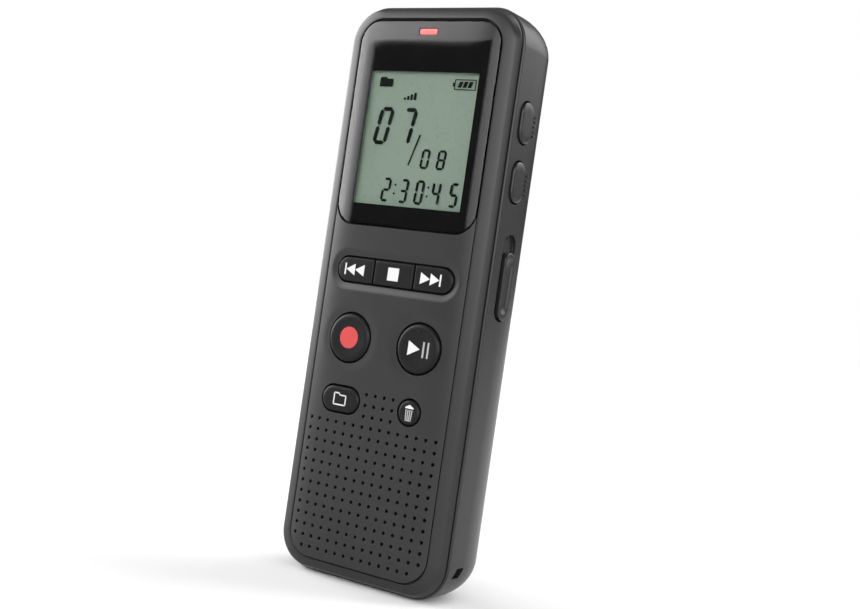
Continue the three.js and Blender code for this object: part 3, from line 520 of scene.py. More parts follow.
# Front cover: a crowned panel in a rounded rim, moulded in the same ABS, with a fine groove between them.
# The panel is laid out in cells of the sound hole pitch, dips softly round the keys, and is cut for them.
COVER_STEP = 0.4
COVER_BACK = 2.9
PLATE_BACK = 2.2
CELL = 2.0
HOLE_RADIUS = 0.36
HOLE_RING = 0.25
HOLE_BOTTOM = 4.9
HOLE_ROWS, TAB_ROWS = 13, 3
LAST_COLUMN = 7
STRIP_HEIGHT = 57.5
STRIP_REACH = 13.1
STRIP_ROUND = 2.6
STRIP_DIP, STRIP_DIP_REACH = 0.32, 1.5
KEY_COLUMN = 7.7
ROUND_KEY_HEIGHT = 44.8
ROUND_KEY_ROOM = 4.85
ROUND_DIP, ROUND_DIP_REACH = 0.10, 1.6
SMALL_KEY_HEIGHT = 33.2
CROWN_HALF, CROWN_SAG, CROWN_EDGE_SAG = 14, 0.164, 0.268


def crown(x):
    share = abs(x) / CROWN_HALF
    return CROWN_SAG * share ** 2 + CROWN_EDGE_SAG * share ** 8


def smooth(share):
    share = max(0.0, min(1.0, share))
    return share * share * (3 - 2 * share)


def panel_depth(x, z):
    beyond = max(abs(x) - (STRIP_REACH - STRIP_ROUND), 0)
    away = math.hypot(beyond, z - STRIP_HEIGHT) - STRIP_ROUND
    dip = STRIP_DIP * (1 - smooth((away + 0.1) / STRIP_DIP_REACH))
    for side in (-1, 1):
        ring = math.hypot(x - side * KEY_COLUMN, z - ROUND_KEY_HEIGHT) - ROUND_KEY_ROOM
        dip += ROUND_DIP * (1 - smooth(ring / ROUND_DIP_REACH))
    return crown(x) + dip


def has_hole(column, row):
    if row < 0 or row >= HOLE_ROWS + TAB_ROWS or abs(column) > LAST_COLUMN:
        return False
    if row == 0 and abs(column) == LAST_COLUMN:
        return False
    return row < HOLE_ROWS or -1 <= column <= 2


def panel_sheet():
    index = {}
    points = []
    faces = []

    def corner(x, z):
        key = (round(x, 4), round(z, 4))
        if key not in index:
            index[key] = len(points)
            points.append((x, panel_depth(x, z), z))
        return index[key]

    for column in range(-8, 9):
        x0 = (column - 0.5) * CELL
        parts_x = 8 if abs(column) > 5 else 4
        for row in range(-1, 51):
            z0 = HOLE_BOTTOM + (row - 0.5) * CELL
            near_strip = abs(z0 + CELL / 2 - STRIP_HEIGHT) < 5.5
            parts_z = 8 if near_strip else 4
            xs = [x0 + CELL * i / parts_x for i in range(parts_x + 1)]
            zs = [z0 + CELL * i / parts_z for i in range(parts_z + 1)]
            if not has_hole(column, row):
                for i in range(parts_x):
                    for j in range(parts_z):
                        faces.append((corner(xs[i], zs[j]), corner(xs[i + 1], zs[j]),
                                      corner(xs[i + 1], zs[j + 1]), corner(xs[i], zs[j + 1])))
                continue
            edge = [(x, zs[0]) for x in xs[:-1]] + [(xs[-1], z) for z in zs[:-1]]
            edge += [(x, zs[-1]) for x in reversed(xs[1:])] + [(xs[0], z) for z in reversed(zs[1:])]
            centre = (x0 + CELL / 2, z0 + CELL / 2)
            rings = [edge]
            for radius in (HOLE_RADIUS + HOLE_RING, HOLE_RADIUS):
                ring = []
                for x, z in edge:
                    turn = math.atan2(z - centre[1], x - centre[0])
                    ring.append((centre[0] + radius * math.cos(turn), centre[1] + radius * math.sin(turn)))
                rings.append(ring)
            for outer, inner in ((rings[0], rings[1]), (rings[1], rings[2])):
                for i in range(len(edge)):
                    j = (i + 1) % len(edge)
                    faces.append((corner(*outer[i]), corner(*outer[j]), corner(*inner[j]), corner(*inner[i])))
    return points, faces


def thicken(piece, back):
    work = bmesh.new()
    work.from_mesh(piece.data)
    made = bmesh.ops.extrude_face_region(work, geom=work.faces[:], use_keep_orig=True)
    for item in made["geom"]:
        if isinstance(item, bmesh.types.BMVert):
            item.co.y = (back - DEPTH / 2) * MM
    bmesh.ops.recalc_face_normals(work, faces=work.faces)
    work.to_mesh(piece.data)
    work.free()
    return piece


RIM_SIDE = 2.8
RIM_TOP = 2.37
RIM_FOOT = 2.3
GROOVE = 0.12


def cover_outline(inset):
    side = HALF_WIDTH - COVER_STEP - inset
    foot = COVER_STEP + inset * RIM_FOOT / RIM_SIDE
    top = HEIGHT - COVER_STEP - inset * RIM_TOP / RIM_SIDE
    return rounded(-side, side, foot, top, CORNER - COVER_STEP - inset * 0.6)


front_panel = thicken(as_object("front_cover_panel", panel_sheet()), PLATE_BACK)
panel_sides = ((0.6, -1.0), (0.14, 0.62), (0.04, 0.80), (0.0, 1.0), (0.0, PLATE_BACK + 1))
panel_rings = [at_depth(cover_outline(RIM_SIDE + GROOVE + inset), depth) for inset, depth in panel_sides]
carve(front_panel, loft(panel_rings), "INTERSECT")
rim_profile = (
    (3.6, 2.2), (2.4, 2.2), (2.4, 4.6), (1.4, 4.6), (1.4, COVER_BACK), (0.06, COVER_BACK), (0.0, 2.82),
    (0.0, 2.72), (0.06, 2.58), (0.2, 2.3), (0.55, 1.66), (0.68, 1.48), (0.9, 1.33), (1.5, 1.08), (2.2, 0.86),
    (2.6, 0.76), (2.72, 0.78), (2.78, 0.88), (2.8, 1.15), (3.6, 1.15),
)
rim_rings = [at_depth(cover_outline(inset), depth) for inset, depth in rim_profile]
count = len(rim_rings[0])
rim_points = [point for ring in rim_rings for point in ring]
rim_faces = []
for row in range(len(rim_rings)):
    below = (row + 1) % len(rim_rings)
    for i in range(count):
        j = (i + 1) % count
        rim_faces.append((row * count + i, row * count + j, below * count + j, below * count + i))
carve(front_panel, (rim_points, rim_faces), "UNION")
carve(front_panel, pegs(SCREW_SPOTS, POST_RADIUS, 1.8, POST_FRONT - GAP), "UNION")

LENS_BOTTOM, LENS_TOP, LENS_HALF = 66.05, 104.72, 15.34
LENS_CORNER = 4.2
WINDOW = (-11.8, 11.8, 70.1, 95.2)
LED_WINDOW = (-2.05, 2.05, 101.8, 103.2)


def lens_outline(inset):
    return rounded(-LENS_HALF + inset, LENS_HALF - inset, LENS_BOTTOM + inset, LENS_TOP - inset,
                   LENS_CORNER - inset)


POCKET_GAP, POCKET_BACK = 0.22, 1.4
carve(front_panel, prism(lens_outline(-POCKET_GAP), -2, POCKET_BACK))
carve(front_panel, block(-13.5, 13.5, 1.0, 4, 67.75, 97.6))
carve(front_panel, block(-2.35, 2.35, 1.0, 4, 101.5, 103.5))
strip_room = pill(0, STRIP_HEIGHT, STRIP_REACH, STRIP_ROUND)
key_rooms = [circle(side * KEY_COLUMN, ROUND_KEY_HEIGHT, ROUND_KEY_ROOM, 64) for side in (-1, 1)]
key_rooms.append(pill(-KEY_COLUMN, SMALL_KEY_HEIGHT, 4.5, 2.7))
key_rooms.append(circle(KEY_COLUMN, SMALL_KEY_HEIGHT, 2.6, 48))
carve(front_panel, thin([strip_room] + key_rooms, -2, 6))
assemble(front_panel, "case", case_plastic, ("front_cover",), sharp=28)


# Display lens: a polished clear acrylic plate, printed black inside its back except for the window, and glued
# in its pocket. Its face carries the crown on, and bends away a little more near its top.
LENS_FALL, LENS_FALL_LENGTH = 0.12, 4.2


def lens_depth(x, z):
    top = smooth((z - (LENS_TOP - LENS_FALL_LENGTH)) / LENS_FALL_LENGTH)
    return crown(x) + LENS_FALL * top ** 2


def crowned_plate(x0, x1, z0, z1, step, front, back):
    across = round((x1 - x0) / step)
    along = round((z1 - z0) / step)
    points = []
    faces = []
    for j in range(along + 1):
        for i in range(across + 1):
            x = x0 + (x1 - x0) * i / across
            z = z0 + (z1 - z0) * j / along
            points.append((x, front(x, z), z))
    row = across + 1
    for j in range(along):
        for i in range(across):
            a = j * row + i
            faces.append((a, a + 1, a + 1 + row, a + row))
    return thicken(as_object("plate", (points, faces)), back)


LENS_BACK = 1.1
PRINT_FRONT, PRINT_BACK, PRINT_INSET = 1.02, 1.07, 0.1
lens_edge = ((0.5, -1.0), (0.22, 0.55), (0.08, 0.72), (0.0, 0.9), (0.0, 3.0))
led_opening = rounded(*LED_WINDOW, 0.3, 5)
lens = crowned_plate(-16, 16, 65, 106, 0.5, lens_depth, LENS_BACK)
lens.name = "display_lens_plate"
carve(lens, loft([at_depth(lens_outline(inset), depth) for inset, depth in lens_edge]), "INTERSECT")
carve(lens, prism(led_opening, -2, 3))
clear_acrylic = make_finish("clear_acrylic", (1.0, 1.0, 1.0), 0.02, 60, 0.00002, tint=0.0, gloss=0.008)
clear_shader = clear_acrylic.node_tree.nodes["Principled BSDF"]
clear_shader.inputs["Transmission Weight"].default_value = 1.0
clear_shader.inputs["IOR"].default_value = 1.49
assemble(lens, "case", clear_acrylic, ("display_lens",), sharp=24)

mask = as_object("window_mask", prism(lens_outline(PRINT_INSET), PRINT_FRONT, PRINT_BACK))
carve(mask, prism(rounded(*WINDOW, 0.12, 3), 0, 3))
carve(mask, prism(led_opening, 0, 3))
mask_ink = make_finish("mask_ink", (0.006, 0.006, 0.006), 0.8, 2000, 0.001, shine=0.0)
assemble(mask, "case", mask_ink)


# Record light: a clear red bar that carries the lamp's light from the board to the front of the lens.
# It is a small moulding with a rounded face, held between the lens and the board.
red_guide = make_finish("red_guide", (0.40, 0.11, 0.10), 0.28, 1500, 0.002, tint=0.08)
guide_shader = red_guide.node_tree.nodes["Principled BSDF"]
guide_shader.inputs["Emission Color"].default_value = (0.95, 0.22, 0.21, 1)
guide_shader.inputs["Emission Strength"].default_value = 0.15
GUIDE_HALF, GUIDE_FOOT, GUIDE_TOP = 1.98, 101.87, 103.13
guide_rings = []
for inset, depth in ((0.0, 3.6), (0.0, 1.0), (0.02, 0.26), (0.10, 0.12), (0.30, 0.07)):
    outline = rounded(-GUIDE_HALF + inset, GUIDE_HALF - inset, GUIDE_FOOT + inset, GUIDE_TOP - inset,
                      0.34 - inset * 0.8, 5)
    guide_rings.append(at_depth(outline, depth))
guide = as_object("record_light_bar", loft(guide_rings))
assemble(guide, "case", red_guide, ("light_guide",))


# Keys: black polyurethane caps with a satin face and a rounded edge, each with a flange behind the panel
# and a stem over its dome. Their symbols are printed in white and grey, and the record key has a red disc.
KEY_FLANGE = (2.5, 3.0)
STEM_END = 4.0
STEM_RADIUS = 1.0
FLANGE_REACH = (0.8, 0.8)
ROUND_KEY_RADIUS = 4.55
ROUND_KEY_PROUD = 0.30
ROUND_KEY_DISH, DISH_REACH = 0.16, 3.85
SMALL_KEY_PROUD = 0.26
FOLDER_KEY_HALVES = (4.2, 2.4)
DELETE_KEY_HALVES = (2.3, 2.3)
STRIP_KEY_HALF = 2.3
STRIP_KEY_SUNK = 0.02
STRIP_END_CORNER, STRIP_INNER_CORNER = 2.28, 0.25
PRINT_SUNK = 0.05
# The key caps' rounded edges are painted much lighter: rub wear together with a painted highlight on the
# bevel.
key_satin = make_finish("key_satin", (0.006, 0.006, 0.0064), 0.32, 3600, 0.006, tint=0.1, wear=0.8,
                         edge=0.12, shine=0.13)
print_white = make_finish("print_white", (0.45, 0.45, 0.45), 0.5, 2500, 0.003, tint=0.03)
print_grey = make_finish("print_grey", (0.24, 0.24, 0.24), 0.5, 2500, 0.003, tint=0.05)
print_red = make_finish("print_red", (0.36, 0.02, 0.02), 0.42, 2500, 0.003, tint=0.04)


def about(outline, centre, share_x, share_z):
    middle_x, middle_z = centre
    return [(middle_x + (x - middle_x) * share_x, middle_z + (z - middle_z) * share_z) for x, z in outline]


def key_cap(name, outline, centre, half, edge, top, flange_reach):
    def inset(amount):
        return about(outline, centre, 1 - amount / half[0], 1 - amount / half[1])

    stem = []
    for x, z in outline:
        turn = math.atan2(z - centre[1], x - centre[0])
        stem.append((centre[0] + STEM_RADIUS * math.cos(turn), centre[1] + STEM_RADIUS * math.sin(turn)))
    flange = about(outline, centre, 1 + flange_reach[0] / half[0], 1 + flange_reach[1] / half[1])
    rings = [at_depth(stem, STEM_END), at_depth(stem, KEY_FLANGE[1]), at_depth(flange, KEY_FLANGE[1]),
             at_depth(flange, KEY_FLANGE[0]), at_depth(outline, KEY_FLANGE[0])]
    for amount, drop in edge:
        rings.append([(x, top(x, z) + drop, z) for x, z in inset(amount)])
    last = inset(edge[-1][0])
    for share in (0.85, 0.65, 0.45, 0.25, 0.08):
        rings.append([(x, top(x, z), z) for x, z in about(last, centre, share, share)])
    cap = as_object(name, loft(rings))
    node = name.replace("_cap", "")
    return assemble(cap, node + "_body", key_satin, (node,), sharp=40)


def print_on(name, outlines, top, body, ink, lift=0.025):
    shapes = []
    for outline in outlines:
        front = [(x, top(x, z) - lift, z) for x, z in outline]
        back = [(x, top(x, z) + PRINT_SUNK, z) for x, z in outline]
        shapes.append(loft([back, front]))
    symbol = as_object(name, together(*shapes))
    return assemble(symbol, body, ink, sharp=20)


def dished_top(side):
    centre = side * KEY_COLUMN

    def top(x, z):
        share = min(1.0, math.hypot(x - centre, z - ROUND_KEY_HEIGHT) / DISH_REACH)
        return crown(centre) - ROUND_KEY_PROUD + ROUND_KEY_DISH * (1 - share * share)

    return top


ROUND_EDGE = ((0.0, 0.62), (0.04, 0.42), (0.16, 0.22), (0.34, 0.10), (0.55, 0.03), (0.70, 0.0))
SMALL_EDGE = ((0.0, 0.50), (0.04, 0.34), (0.14, 0.17), (0.30, 0.06), (0.46, 0.0))
record_top = dished_top(-1)
play_top = dished_top(1)
round_halves = (ROUND_KEY_RADIUS, ROUND_KEY_RADIUS)
for side, name, top in ((-1, "record_key", record_top), (1, "play_key", play_top)):
    centre = (side * KEY_COLUMN, ROUND_KEY_HEIGHT)
    outline = circle(*centre, ROUND_KEY_RADIUS, 64)
    key_cap(name + "_cap", outline, centre, round_halves, ROUND_EDGE, top, FLANGE_REACH)


def flat_top(x, z):
    return crown(KEY_COLUMN) - SMALL_KEY_PROUD


centre = (-KEY_COLUMN, SMALL_KEY_HEIGHT)
outline = pill(*centre, *FOLDER_KEY_HALVES)
key_cap("folder_key_cap", outline, centre, FOLDER_KEY_HALVES, SMALL_EDGE, flat_top, FLANGE_REACH)
centre = (KEY_COLUMN, SMALL_KEY_HEIGHT)
outline = circle(*centre, DELETE_KEY_HALVES[0], 48)
key_cap("delete_key_cap", outline, centre, DELETE_KEY_HALVES, SMALL_EDGE, flat_top, FLANGE_REACH)


def strip_top(x, z):
    return crown(x) + STRIP_KEY_SUNK


def strip_outline(x0, x1, steps=8):
    ends = []
    right = STRIP_END_CORNER if x1 > 5 else STRIP_INNER_CORNER
    left = STRIP_END_CORNER if x0 < -5 else STRIP_INNER_CORNER
    corners = ((x1, -1, -90, right), (x1, 1, 0, right), (x0, 1, 90, left), (x0, -1, 180, left))
    for x, z, start, radius in corners:
        centre_x = x - radius if x == x1 else x + radius
        centre_z = STRIP_HEIGHT + z * (STRIP_KEY_HALF - radius)
        for step in range(steps + 1):
            turn = math.radians(start + 90 * step / steps)
            ends.append((centre_x + radius * math.cos(turn), centre_z + radius * math.sin(turn)))
    return ends


STRIP_EDGE = ((0.0, 0.36), (0.03, 0.22), (0.10, 0.10), (0.20, 0.03), (0.30, 0.0))
for name, x0, x1 in (("previous_key", -12.8, -4.6), ("stop_key", -4.3, 4.3), ("next_key", 4.6, 12.8)):
    centre = ((x0 + x1) / 2, STRIP_HEIGHT)
    halves = ((x1 - x0) / 2, STRIP_KEY_HALF)
    key_cap(name + "_cap", strip_outline(x0, x1), centre, halves, STRIP_EDGE, strip_top, (0.0, 0.8))

disc = circle(-KEY_COLUMN, ROUND_KEY_HEIGHT, 2.03, 48)
print_on("record_disc", [disc], record_top, "record_key_body", print_red, 0.03)
play_mark = [(5.65, 43.4), (8.15, 44.75), (5.65, 46.1)]
print_on("play_symbol", [play_mark], play_top, "play_key_body", print_white)
pause_bars = [[(x, 43.3), (x + 0.36, 43.3), (x + 0.36, 46.2), (x, 46.2)] for x in (8.75, 9.75)]
print_on("pause_symbol", pause_bars, play_top, "play_key_body", print_grey)
finder_dot = circle(KEY_COLUMN - 0.1, 47.9, 0.25, 16)
print_on("finder_dot", [finder_dot], play_top, "play_key_body", key_satin, 0.14)
MARK_HALF = 1.08
low, high = STRIP_HEIGHT - MARK_HALF, STRIP_HEIGHT + MARK_HALF
previous_marks = [
    [(-11.1, low), (-10.78, low), (-10.78, high), (-11.1, high)],
    [(-10.72, STRIP_HEIGHT), (-8.72, low), (-8.72, high)],
    [(-8.66, STRIP_HEIGHT), (-6.6, low), (-6.6, high)],
]
print_on("previous_symbol", previous_marks, strip_top, "previous_key_body", print_white)
stop_mark = [(-1.2, 56.3), (1.2, 56.3), (1.2, 58.7), (-1.2, 58.7)]
print_on("stop_symbol", [stop_mark], strip_top, "stop_key_body", print_white)
next_marks = [
    [(10.1, low), (10.42, low), (10.42, high), (10.1, high)],
    [(8.06, STRIP_HEIGHT), (6.0, low), (6.0, high)],
    [(10.06, STRIP_HEIGHT), (8.12, low), (8.12, high)],
]
for marks in next_marks[1:]:
    marks.reverse()
print_on("next_symbol", next_marks, strip_top, "next_key_body", print_white)
folder_corners = ((-9.05, 32.15), (-6.4, 32.15), (-6.4, 33.95), (-7.75, 33.95), (-8.05, 34.3), (-9.05, 34.3))
folder_lines = []
for i in range(6):
    folder_lines.append(stroke(folder_corners[i], folder_corners[(i + 1) % 6], 0.24, -0.1))
print_on("folder_symbol", folder_lines, flat_top, "folder_key_body", print_white)
bin_lid = [(6.95, 33.95), (8.75, 33.95), (8.75, 34.12), (8.35, 34.42), (7.35, 34.42), (6.95, 34.12)]
bin_knob = [(7.5, 34.42), (8.2, 34.42), (8.05, 34.6), (7.65, 34.6)]
print_on("bin_lid_symbol", [bin_lid, bin_knob], flat_top, "delete_key_body", print_white)
BIN_MIDDLE, BIN_LINE_HALF = 7.85, 0.11
BIN_FOOT, BIN_MOUTH = 31.85, 33.75
bin_bars = []
for share in (-1, -0.33, 0.33, 1):
    foot_x, mouth_x = BIN_MIDDLE + share * 0.52, BIN_MIDDLE + share * 0.66
    bin_bars.append([(foot_x - BIN_LINE_HALF, BIN_FOOT), (foot_x + BIN_LINE_HALF, BIN_FOOT),
                     (mouth_x + BIN_LINE_HALF, BIN_MOUTH), (mouth_x - BIN_LINE_HALF, BIN_MOUTH)])
bin_bars.append([(7.2, 31.7), (8.5, 31.7), (8.5, 31.95), (7.2, 31.95)])
print_on("bin_symbol", bin_bars, flat_top, "delete_key_body", print_grey)


# Side keys and slide: case-coloured mouldings that stand through the right wall, over switches on the board.
# Each key has a domed face; the slide rests at the low end of its recess and has a thumb scoop.
# Raised ticks stand beside the keys, and a dot above the slide.
def side_moulding(name, depth, z, rings, body, node):
    loops = []
    for half_depth, half_height, x in rings:
        loops.append(on_side(pill(depth, z, half_depth, half_height, 8), x))
    moulding = as_object(name, loft(loops))
    return assemble(moulding, body, case_plastic, (node,), sharp=40)


side_rings = (
    (0.8, 0.8, 16.0), (0.8, 0.82, 16.7), (2.5, 4.5, 16.7), (2.5, 4.5, 17.0), (2.15, 3.75, 17.0),
    (2.15, 3.75, 18.98), (2.12, 3.72, 19.09), (2.04, 3.64, 19.18), (1.88, 3.48, 19.25), (1.55, 3.15, 19.31),
    (0.8, 2.4, 19.35),
)
for name, z in zip(("upper_side_key", "lower_side_key"), SIDE_KEY_HEIGHTS):
    side_moulding(name + "_cap", SIDE_KEY_DEPTH, z, side_rings, name + "_body", name)
knob_rings = (
    (0.98, 1.0, 16.1), (0.98, 1.0, 18.3), (1.75, 6.2, 18.3), (1.75, 6.2, 18.98), (1.72, 6.17, 19.07),
    (1.62, 6.07, 19.13), (1.5, 5.9, 19.15), (1.35, 5.2, 19.15), (1.2, 4.9, 19.08), (1.05, 4.5, 18.90),
    (0.8, 3.9, 18.80), (0.3, 3.0, 18.77),
)
KNOB_DEPTH, KNOB_HEIGHT = SLIDE_DEPTH + 0.35, 58.15
side_moulding("slide_knob_grip", KNOB_DEPTH, KNOB_HEIGHT, knob_rings, "slide_knob_body", "slide_knob")

TICK_FRONT, TICK_BACK, TICK_PITCH = 10.75, 11.35, 0.85
tactile = []
for z in SIDE_KEY_HEIGHTS:
    for step in range(5):
        rise = step * TICK_PITCH
        tick = rounded(TICK_FRONT, TICK_BACK, z - 1.9 + rise, z - 1.55 + rise, 0.1, 3)
        tactile.append(loft([on_side(tick, 18.7), on_side(tick, 18.86), on_side(tick, 18.9)]))
slide_dot = circle(SLIDE_DEPTH, 66.9, 0.28, 16)
tactile.append(loft([on_side(slide_dot, 17.9), on_side(slide_dot, 18.25)]))
side_marks = as_object("side_marks", together(*tactile))
assemble(side_marks, "case", case_plastic)


# Cells and contacts: two dry cells side by side, one each way up, in plain printed sleeves.
# Springs of plated wire press on their flat ends, and stamped plates carry the current.
CELL_OFFSET, CELL_DEPTH = 5.6, 12.25
CELL_FOOT, CELL_TALL = 14.6, 44.5
CELL_SIDES = 48
COIL_STEPS, WIRE_SIDES = 24, 8
CONTACT_HALF, CONTACT_GAP, CONTACT_THICKNESS = 4.45, 0.3, 0.4
sleeve_print = make_finish("sleeve_print", (0.035, 0.045, 0.06), 0.28, 1800, 0.003, tint=0.1, coat=0.3)
band_print = make_finish("band_print", (0.45, 0.30, 0.06), 0.3, 1800, 0.003, metal=0.6, tint=0.08)
cell_profile = (
    (4.3, 0.0), (4.6, 0.05), (4.7, 0.25), (5.05, 0.3), (5.22, 0.45), (5.25, 0.7), (5.25, 31.0), (5.25, 42.7),
    (5.2, 43.0), (5.0, 43.15), (4.5, 43.1), (4.3, 42.95), (2.4, 42.95), (2.1, 43.2), (1.95, 43.5),
    (1.9, 44.3), (1.7, 44.5),
)
for side, name in ((-1, "left_cell"), (1, "right_cell")):
    profile = []
    for radius, rise in cell_profile:
        profile.append((radius, CELL_FOOT + (rise if side < 0 else CELL_TALL - rise)))
    sleeve = as_object(name + "_can", spun(profile, side * CELL_OFFSET, CELL_DEPTH, CELL_SIDES))
    assemble(sleeve, "case", sleeve_print, (name,), sharp=30)
    start = CELL_FOOT + (31.0 if side < 0 else 3.0)
    ring = ((5.26, start), (5.30, start + 0.05), (5.30, start + 10.4), (5.26, start + 10.5))
    band = as_object(name + "_band", spun(ring, side * CELL_OFFSET, CELL_DEPTH, CELL_SIDES))
    assemble(band, "case", band_print)


def coil(x, z0, z1, radius0, radius1, wire, turns):
    path = []
    steps = turns * COIL_STEPS
    for step in range(steps + 1):
        share = step / steps
        turn = 2 * math.pi * turns * share
        radius = radius0 + (radius1 - radius0) * share
        z = z0 + (z1 - z0) * share
        path.append((x + radius * math.cos(turn), CELL_DEPTH + radius * math.sin(turn), z))
    rings = []
    for i, (px, pd, pz) in enumerate(path):
        turn = 2 * math.pi * turns * i / steps
        outward = Vector((math.cos(turn), math.sin(turn), 0))
        ring = []
        for side in range(WIRE_SIDES):
            lean = 2 * math.pi * side / WIRE_SIDES
            point = Vector((px, pd, pz)) + outward * wire * math.cos(lean)
            ring.append((point.x, point.y, point.z + wire * math.sin(lean)))
        rings.append(ring)
    return loft(rings)


def contact(name, sides, at_top):
    xs = [side * CELL_OFFSET for side in sides]
    wall = BAY_TOP - CONTACT_GAP if at_top else BAY_BOTTOM + CONTACT_GAP
    inward = -1 if at_top else 1
    z0, z1 = sorted((wall, wall + inward * CONTACT_THICKNESS))
    outline = rounded(min(xs) - CONTACT_HALF, max(xs) + CONTACT_HALF, CELL_DEPTH - CONTACT_HALF,
                      CELL_DEPTH + CONTACT_HALF, 0.8, 5)
    parts = [through_top(outline, z0, z1)]
    for side in sides:
        x = side * CELL_OFFSET
        start = wall + inward * 0.35
        end = wall + inward * 2.25
        if at_top == (side < 0):
            parts.append(spun(((1.9, start), (1.7, start + inward * 0.5), (1.3, end)), x, CELL_DEPTH, 24))
        else:
            parts.append(coil(x, start + inward * 0.1, end - inward * 0.15, 3.2, 1.5, 0.22, 3))
    return assemble(as_object(name + "_plate", together(*parts)), "case", plated_steel, (name,))


contact("bridge_contact", (-1, 1), False)
contact("positive_contact", (-1,), True)
contact("negative_contact", (1,), True)


# Battery door: a flat ABS plate flush with the back, with a soft edge, finger grooves and a sunk arrow.
# Two hooks at its foot sit in pockets of the rear case, and it tips out on them.
FINGER_PITCH, FINGER_HALF, FINGER_BEND = 1.6, 5.4, 0.35
HOOK_HALF = 2.2
door_edge = ((0.0, DOOR_FRONT), (0.0, 18.72), (0.05, 18.86), (0.14, 18.95), (0.3, 18.995), (0.5, DEPTH))
door_rings = []
for inset, depth in door_edge:
    outline = rounded(-DOOR_HALF + inset, DOOR_HALF - inset, DOOR_BOTTOM + inset, DOOR_TOP - inset,
                      DOOR_CORNER - inset, 8)
    door_rings.append(at_depth(outline, depth))
door = as_object("battery_door_plate", loft(door_rings))
grips = []
for step in range(4):
    z = DOOR_TOP - 4 - step * FINGER_PITCH
    half = FINGER_HALF - abs(step - 1.5) * FINGER_BEND
    grips.append(loft([
        at_depth(pill(0, z, half, 0.28, 4), 18.62),
        at_depth(pill(0, z, half + 0.3, 0.55, 4), 19.2),
    ]))
carve(door, together(*grips))
arrow = [(-1.3, 51.4), (1.3, 51.4), (0, 49.6)]
carve(door, thin([arrow], 18.8, 1.0))
hooks = []
for x in HOOK_SPOTS:
    hooks.append(block(x - HOOK_HALF, x + HOOK_HALF, 16.0, 17.9, 8.8, 10.0))
    hooks.append(block(x - HOOK_HALF, x + HOOK_HALF, 16.0, 17.2, 7.0, 8.9))
for hook in hooks:
    carve(door, hook, "UNION")
assemble(door, "battery_door_body", case_plastic, ("battery_door",))


# Case screws: four steel self-tapping screws sunk in the back, with a crossed drive in a domed head.
# Each runs through its post in the rear case into the front cover's post.
screw_steel = make_finish("screw_steel", (0.16, 0.16, 0.165), 0.36, 2600, 0.006, metal=1.0, tint=0.12)
SCREW_CORE, SCREW_THREAD = 0.6, 0.8
THREAD_START, THREAD_PITCH, THREAD_TURNS = 7.4, 0.7, 9
DRIVE_LONG, DRIVE_SHORT, DRIVE_FLOOR = 0.85, 0.18, 14.9
screw_profile = [(0.3, 6.4), (0.55, 6.9), (0.62, 7.2)]
for turn in range(THREAD_TURNS):
    start = THREAD_START + turn * THREAD_PITCH
    screw_profile += [(SCREW_CORE, start), (SCREW_THREAD, start + 0.2), (SCREW_CORE, start + 0.4)]
screw_profile += [(0.7, 14.3), (1.45, 14.3), (1.5, 14.4), (1.5, 14.9), (1.42, 15.15), (1.1, 15.33)]
screw_profile.append((0.5, 15.4))
for number, (x, z) in enumerate(SCREW_SPOTS, 1):
    name = "case_screw_" + str(number)
    rings = [at_depth(circle(x, z, radius, 24), depth) for radius, depth in screw_profile]
    screw = as_object(name + "_body", loft(rings))
    carve(screw, block(x - DRIVE_LONG, x + DRIVE_LONG, DRIVE_FLOOR, 16, z - DRIVE_SHORT, z + DRIVE_SHORT))
    carve(screw, block(x - DRIVE_SHORT, x + DRIVE_SHORT, DRIVE_FLOOR, 16, z - DRIVE_LONG, z + DRIVE_LONG))
    assemble(screw, "case", screw_steel, (name,))


# Setting: a wide pale floor under a soft studio dome, with a camera level with the middle of the case.
# The dome's panels give the long soft lights on the rim, the lens and the side wall.
FLOOR_HALF, FLOOR_HEIGHT = 40, -0.0002
floor_corners = []
for side_x, side_y in ((-1, -1), (1, -1), (1, 1), (-1, 1)):
    floor_corners.append((side_x * FLOOR_HALF, side_y * FLOOR_HALF, FLOOR_HEIGHT))
floor_mesh = bpy.data.meshes.new("floor")
floor_mesh.from_pydata(floor_corners, [], [(0, 1, 2, 3)])
floor = bpy.data.objects.new("floor", floor_mesh)
bpy.context.scene.collection.objects.link(floor)
floor_paper = make_finish("floor_paper", (0.70, 0.70, 0.70), 0.9, 300, 0.0, tint=0.005, cloud=6)
floor_mesh.materials.append(floor_paper)
floor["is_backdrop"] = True

world = bpy.data.worlds.new("studio")
bpy.context.scene.world = world
world.use_nodes = True
sky = world.node_tree
sky.nodes.clear()


def sky_math(operation, first, second=0.0, third=0.0):
    node = sky.nodes.new("ShaderNodeMath")
    node.operation = operation
    for socket, value in zip(node.inputs, (first, second, third)):
        if isinstance(value, (int, float)):
            socket.default_value = value
        else:
            sky.links.new(value, socket)
    return node.outputs[0]


def sky_step(value, low, high, bottom=0.0, top=1.0):
    node = sky.nodes.new("ShaderNodeMapRange")
    node.interpolation_type = "SMOOTHSTEP"
    for name, number in (("From Min", low), ("From Max", high), ("To Min", bottom), ("To Max", top)):
        node.inputs[name].default_value = number
    sky.links.new(value, node.inputs["Value"])
    return node.outputs["Result"]


direction = sky.nodes.new("ShaderNodeTexCoord").outputs["Generated"]
apart = sky.nodes.new("ShaderNodeSeparateXYZ")
sky.links.new(direction, apart.inputs[0])
DEGREES = 180 / math.pi
ahead = sky_math("MULTIPLY", apart.outputs["Y"], -1.0)
bearing = sky_math("MULTIPLY", sky_math("ARCTAN2", apart.outputs["X"], ahead), DEGREES)
height = sky_math("MULTIPLY", sky_math("ARCSINE", apart.outputs["Z"]), DEGREES)


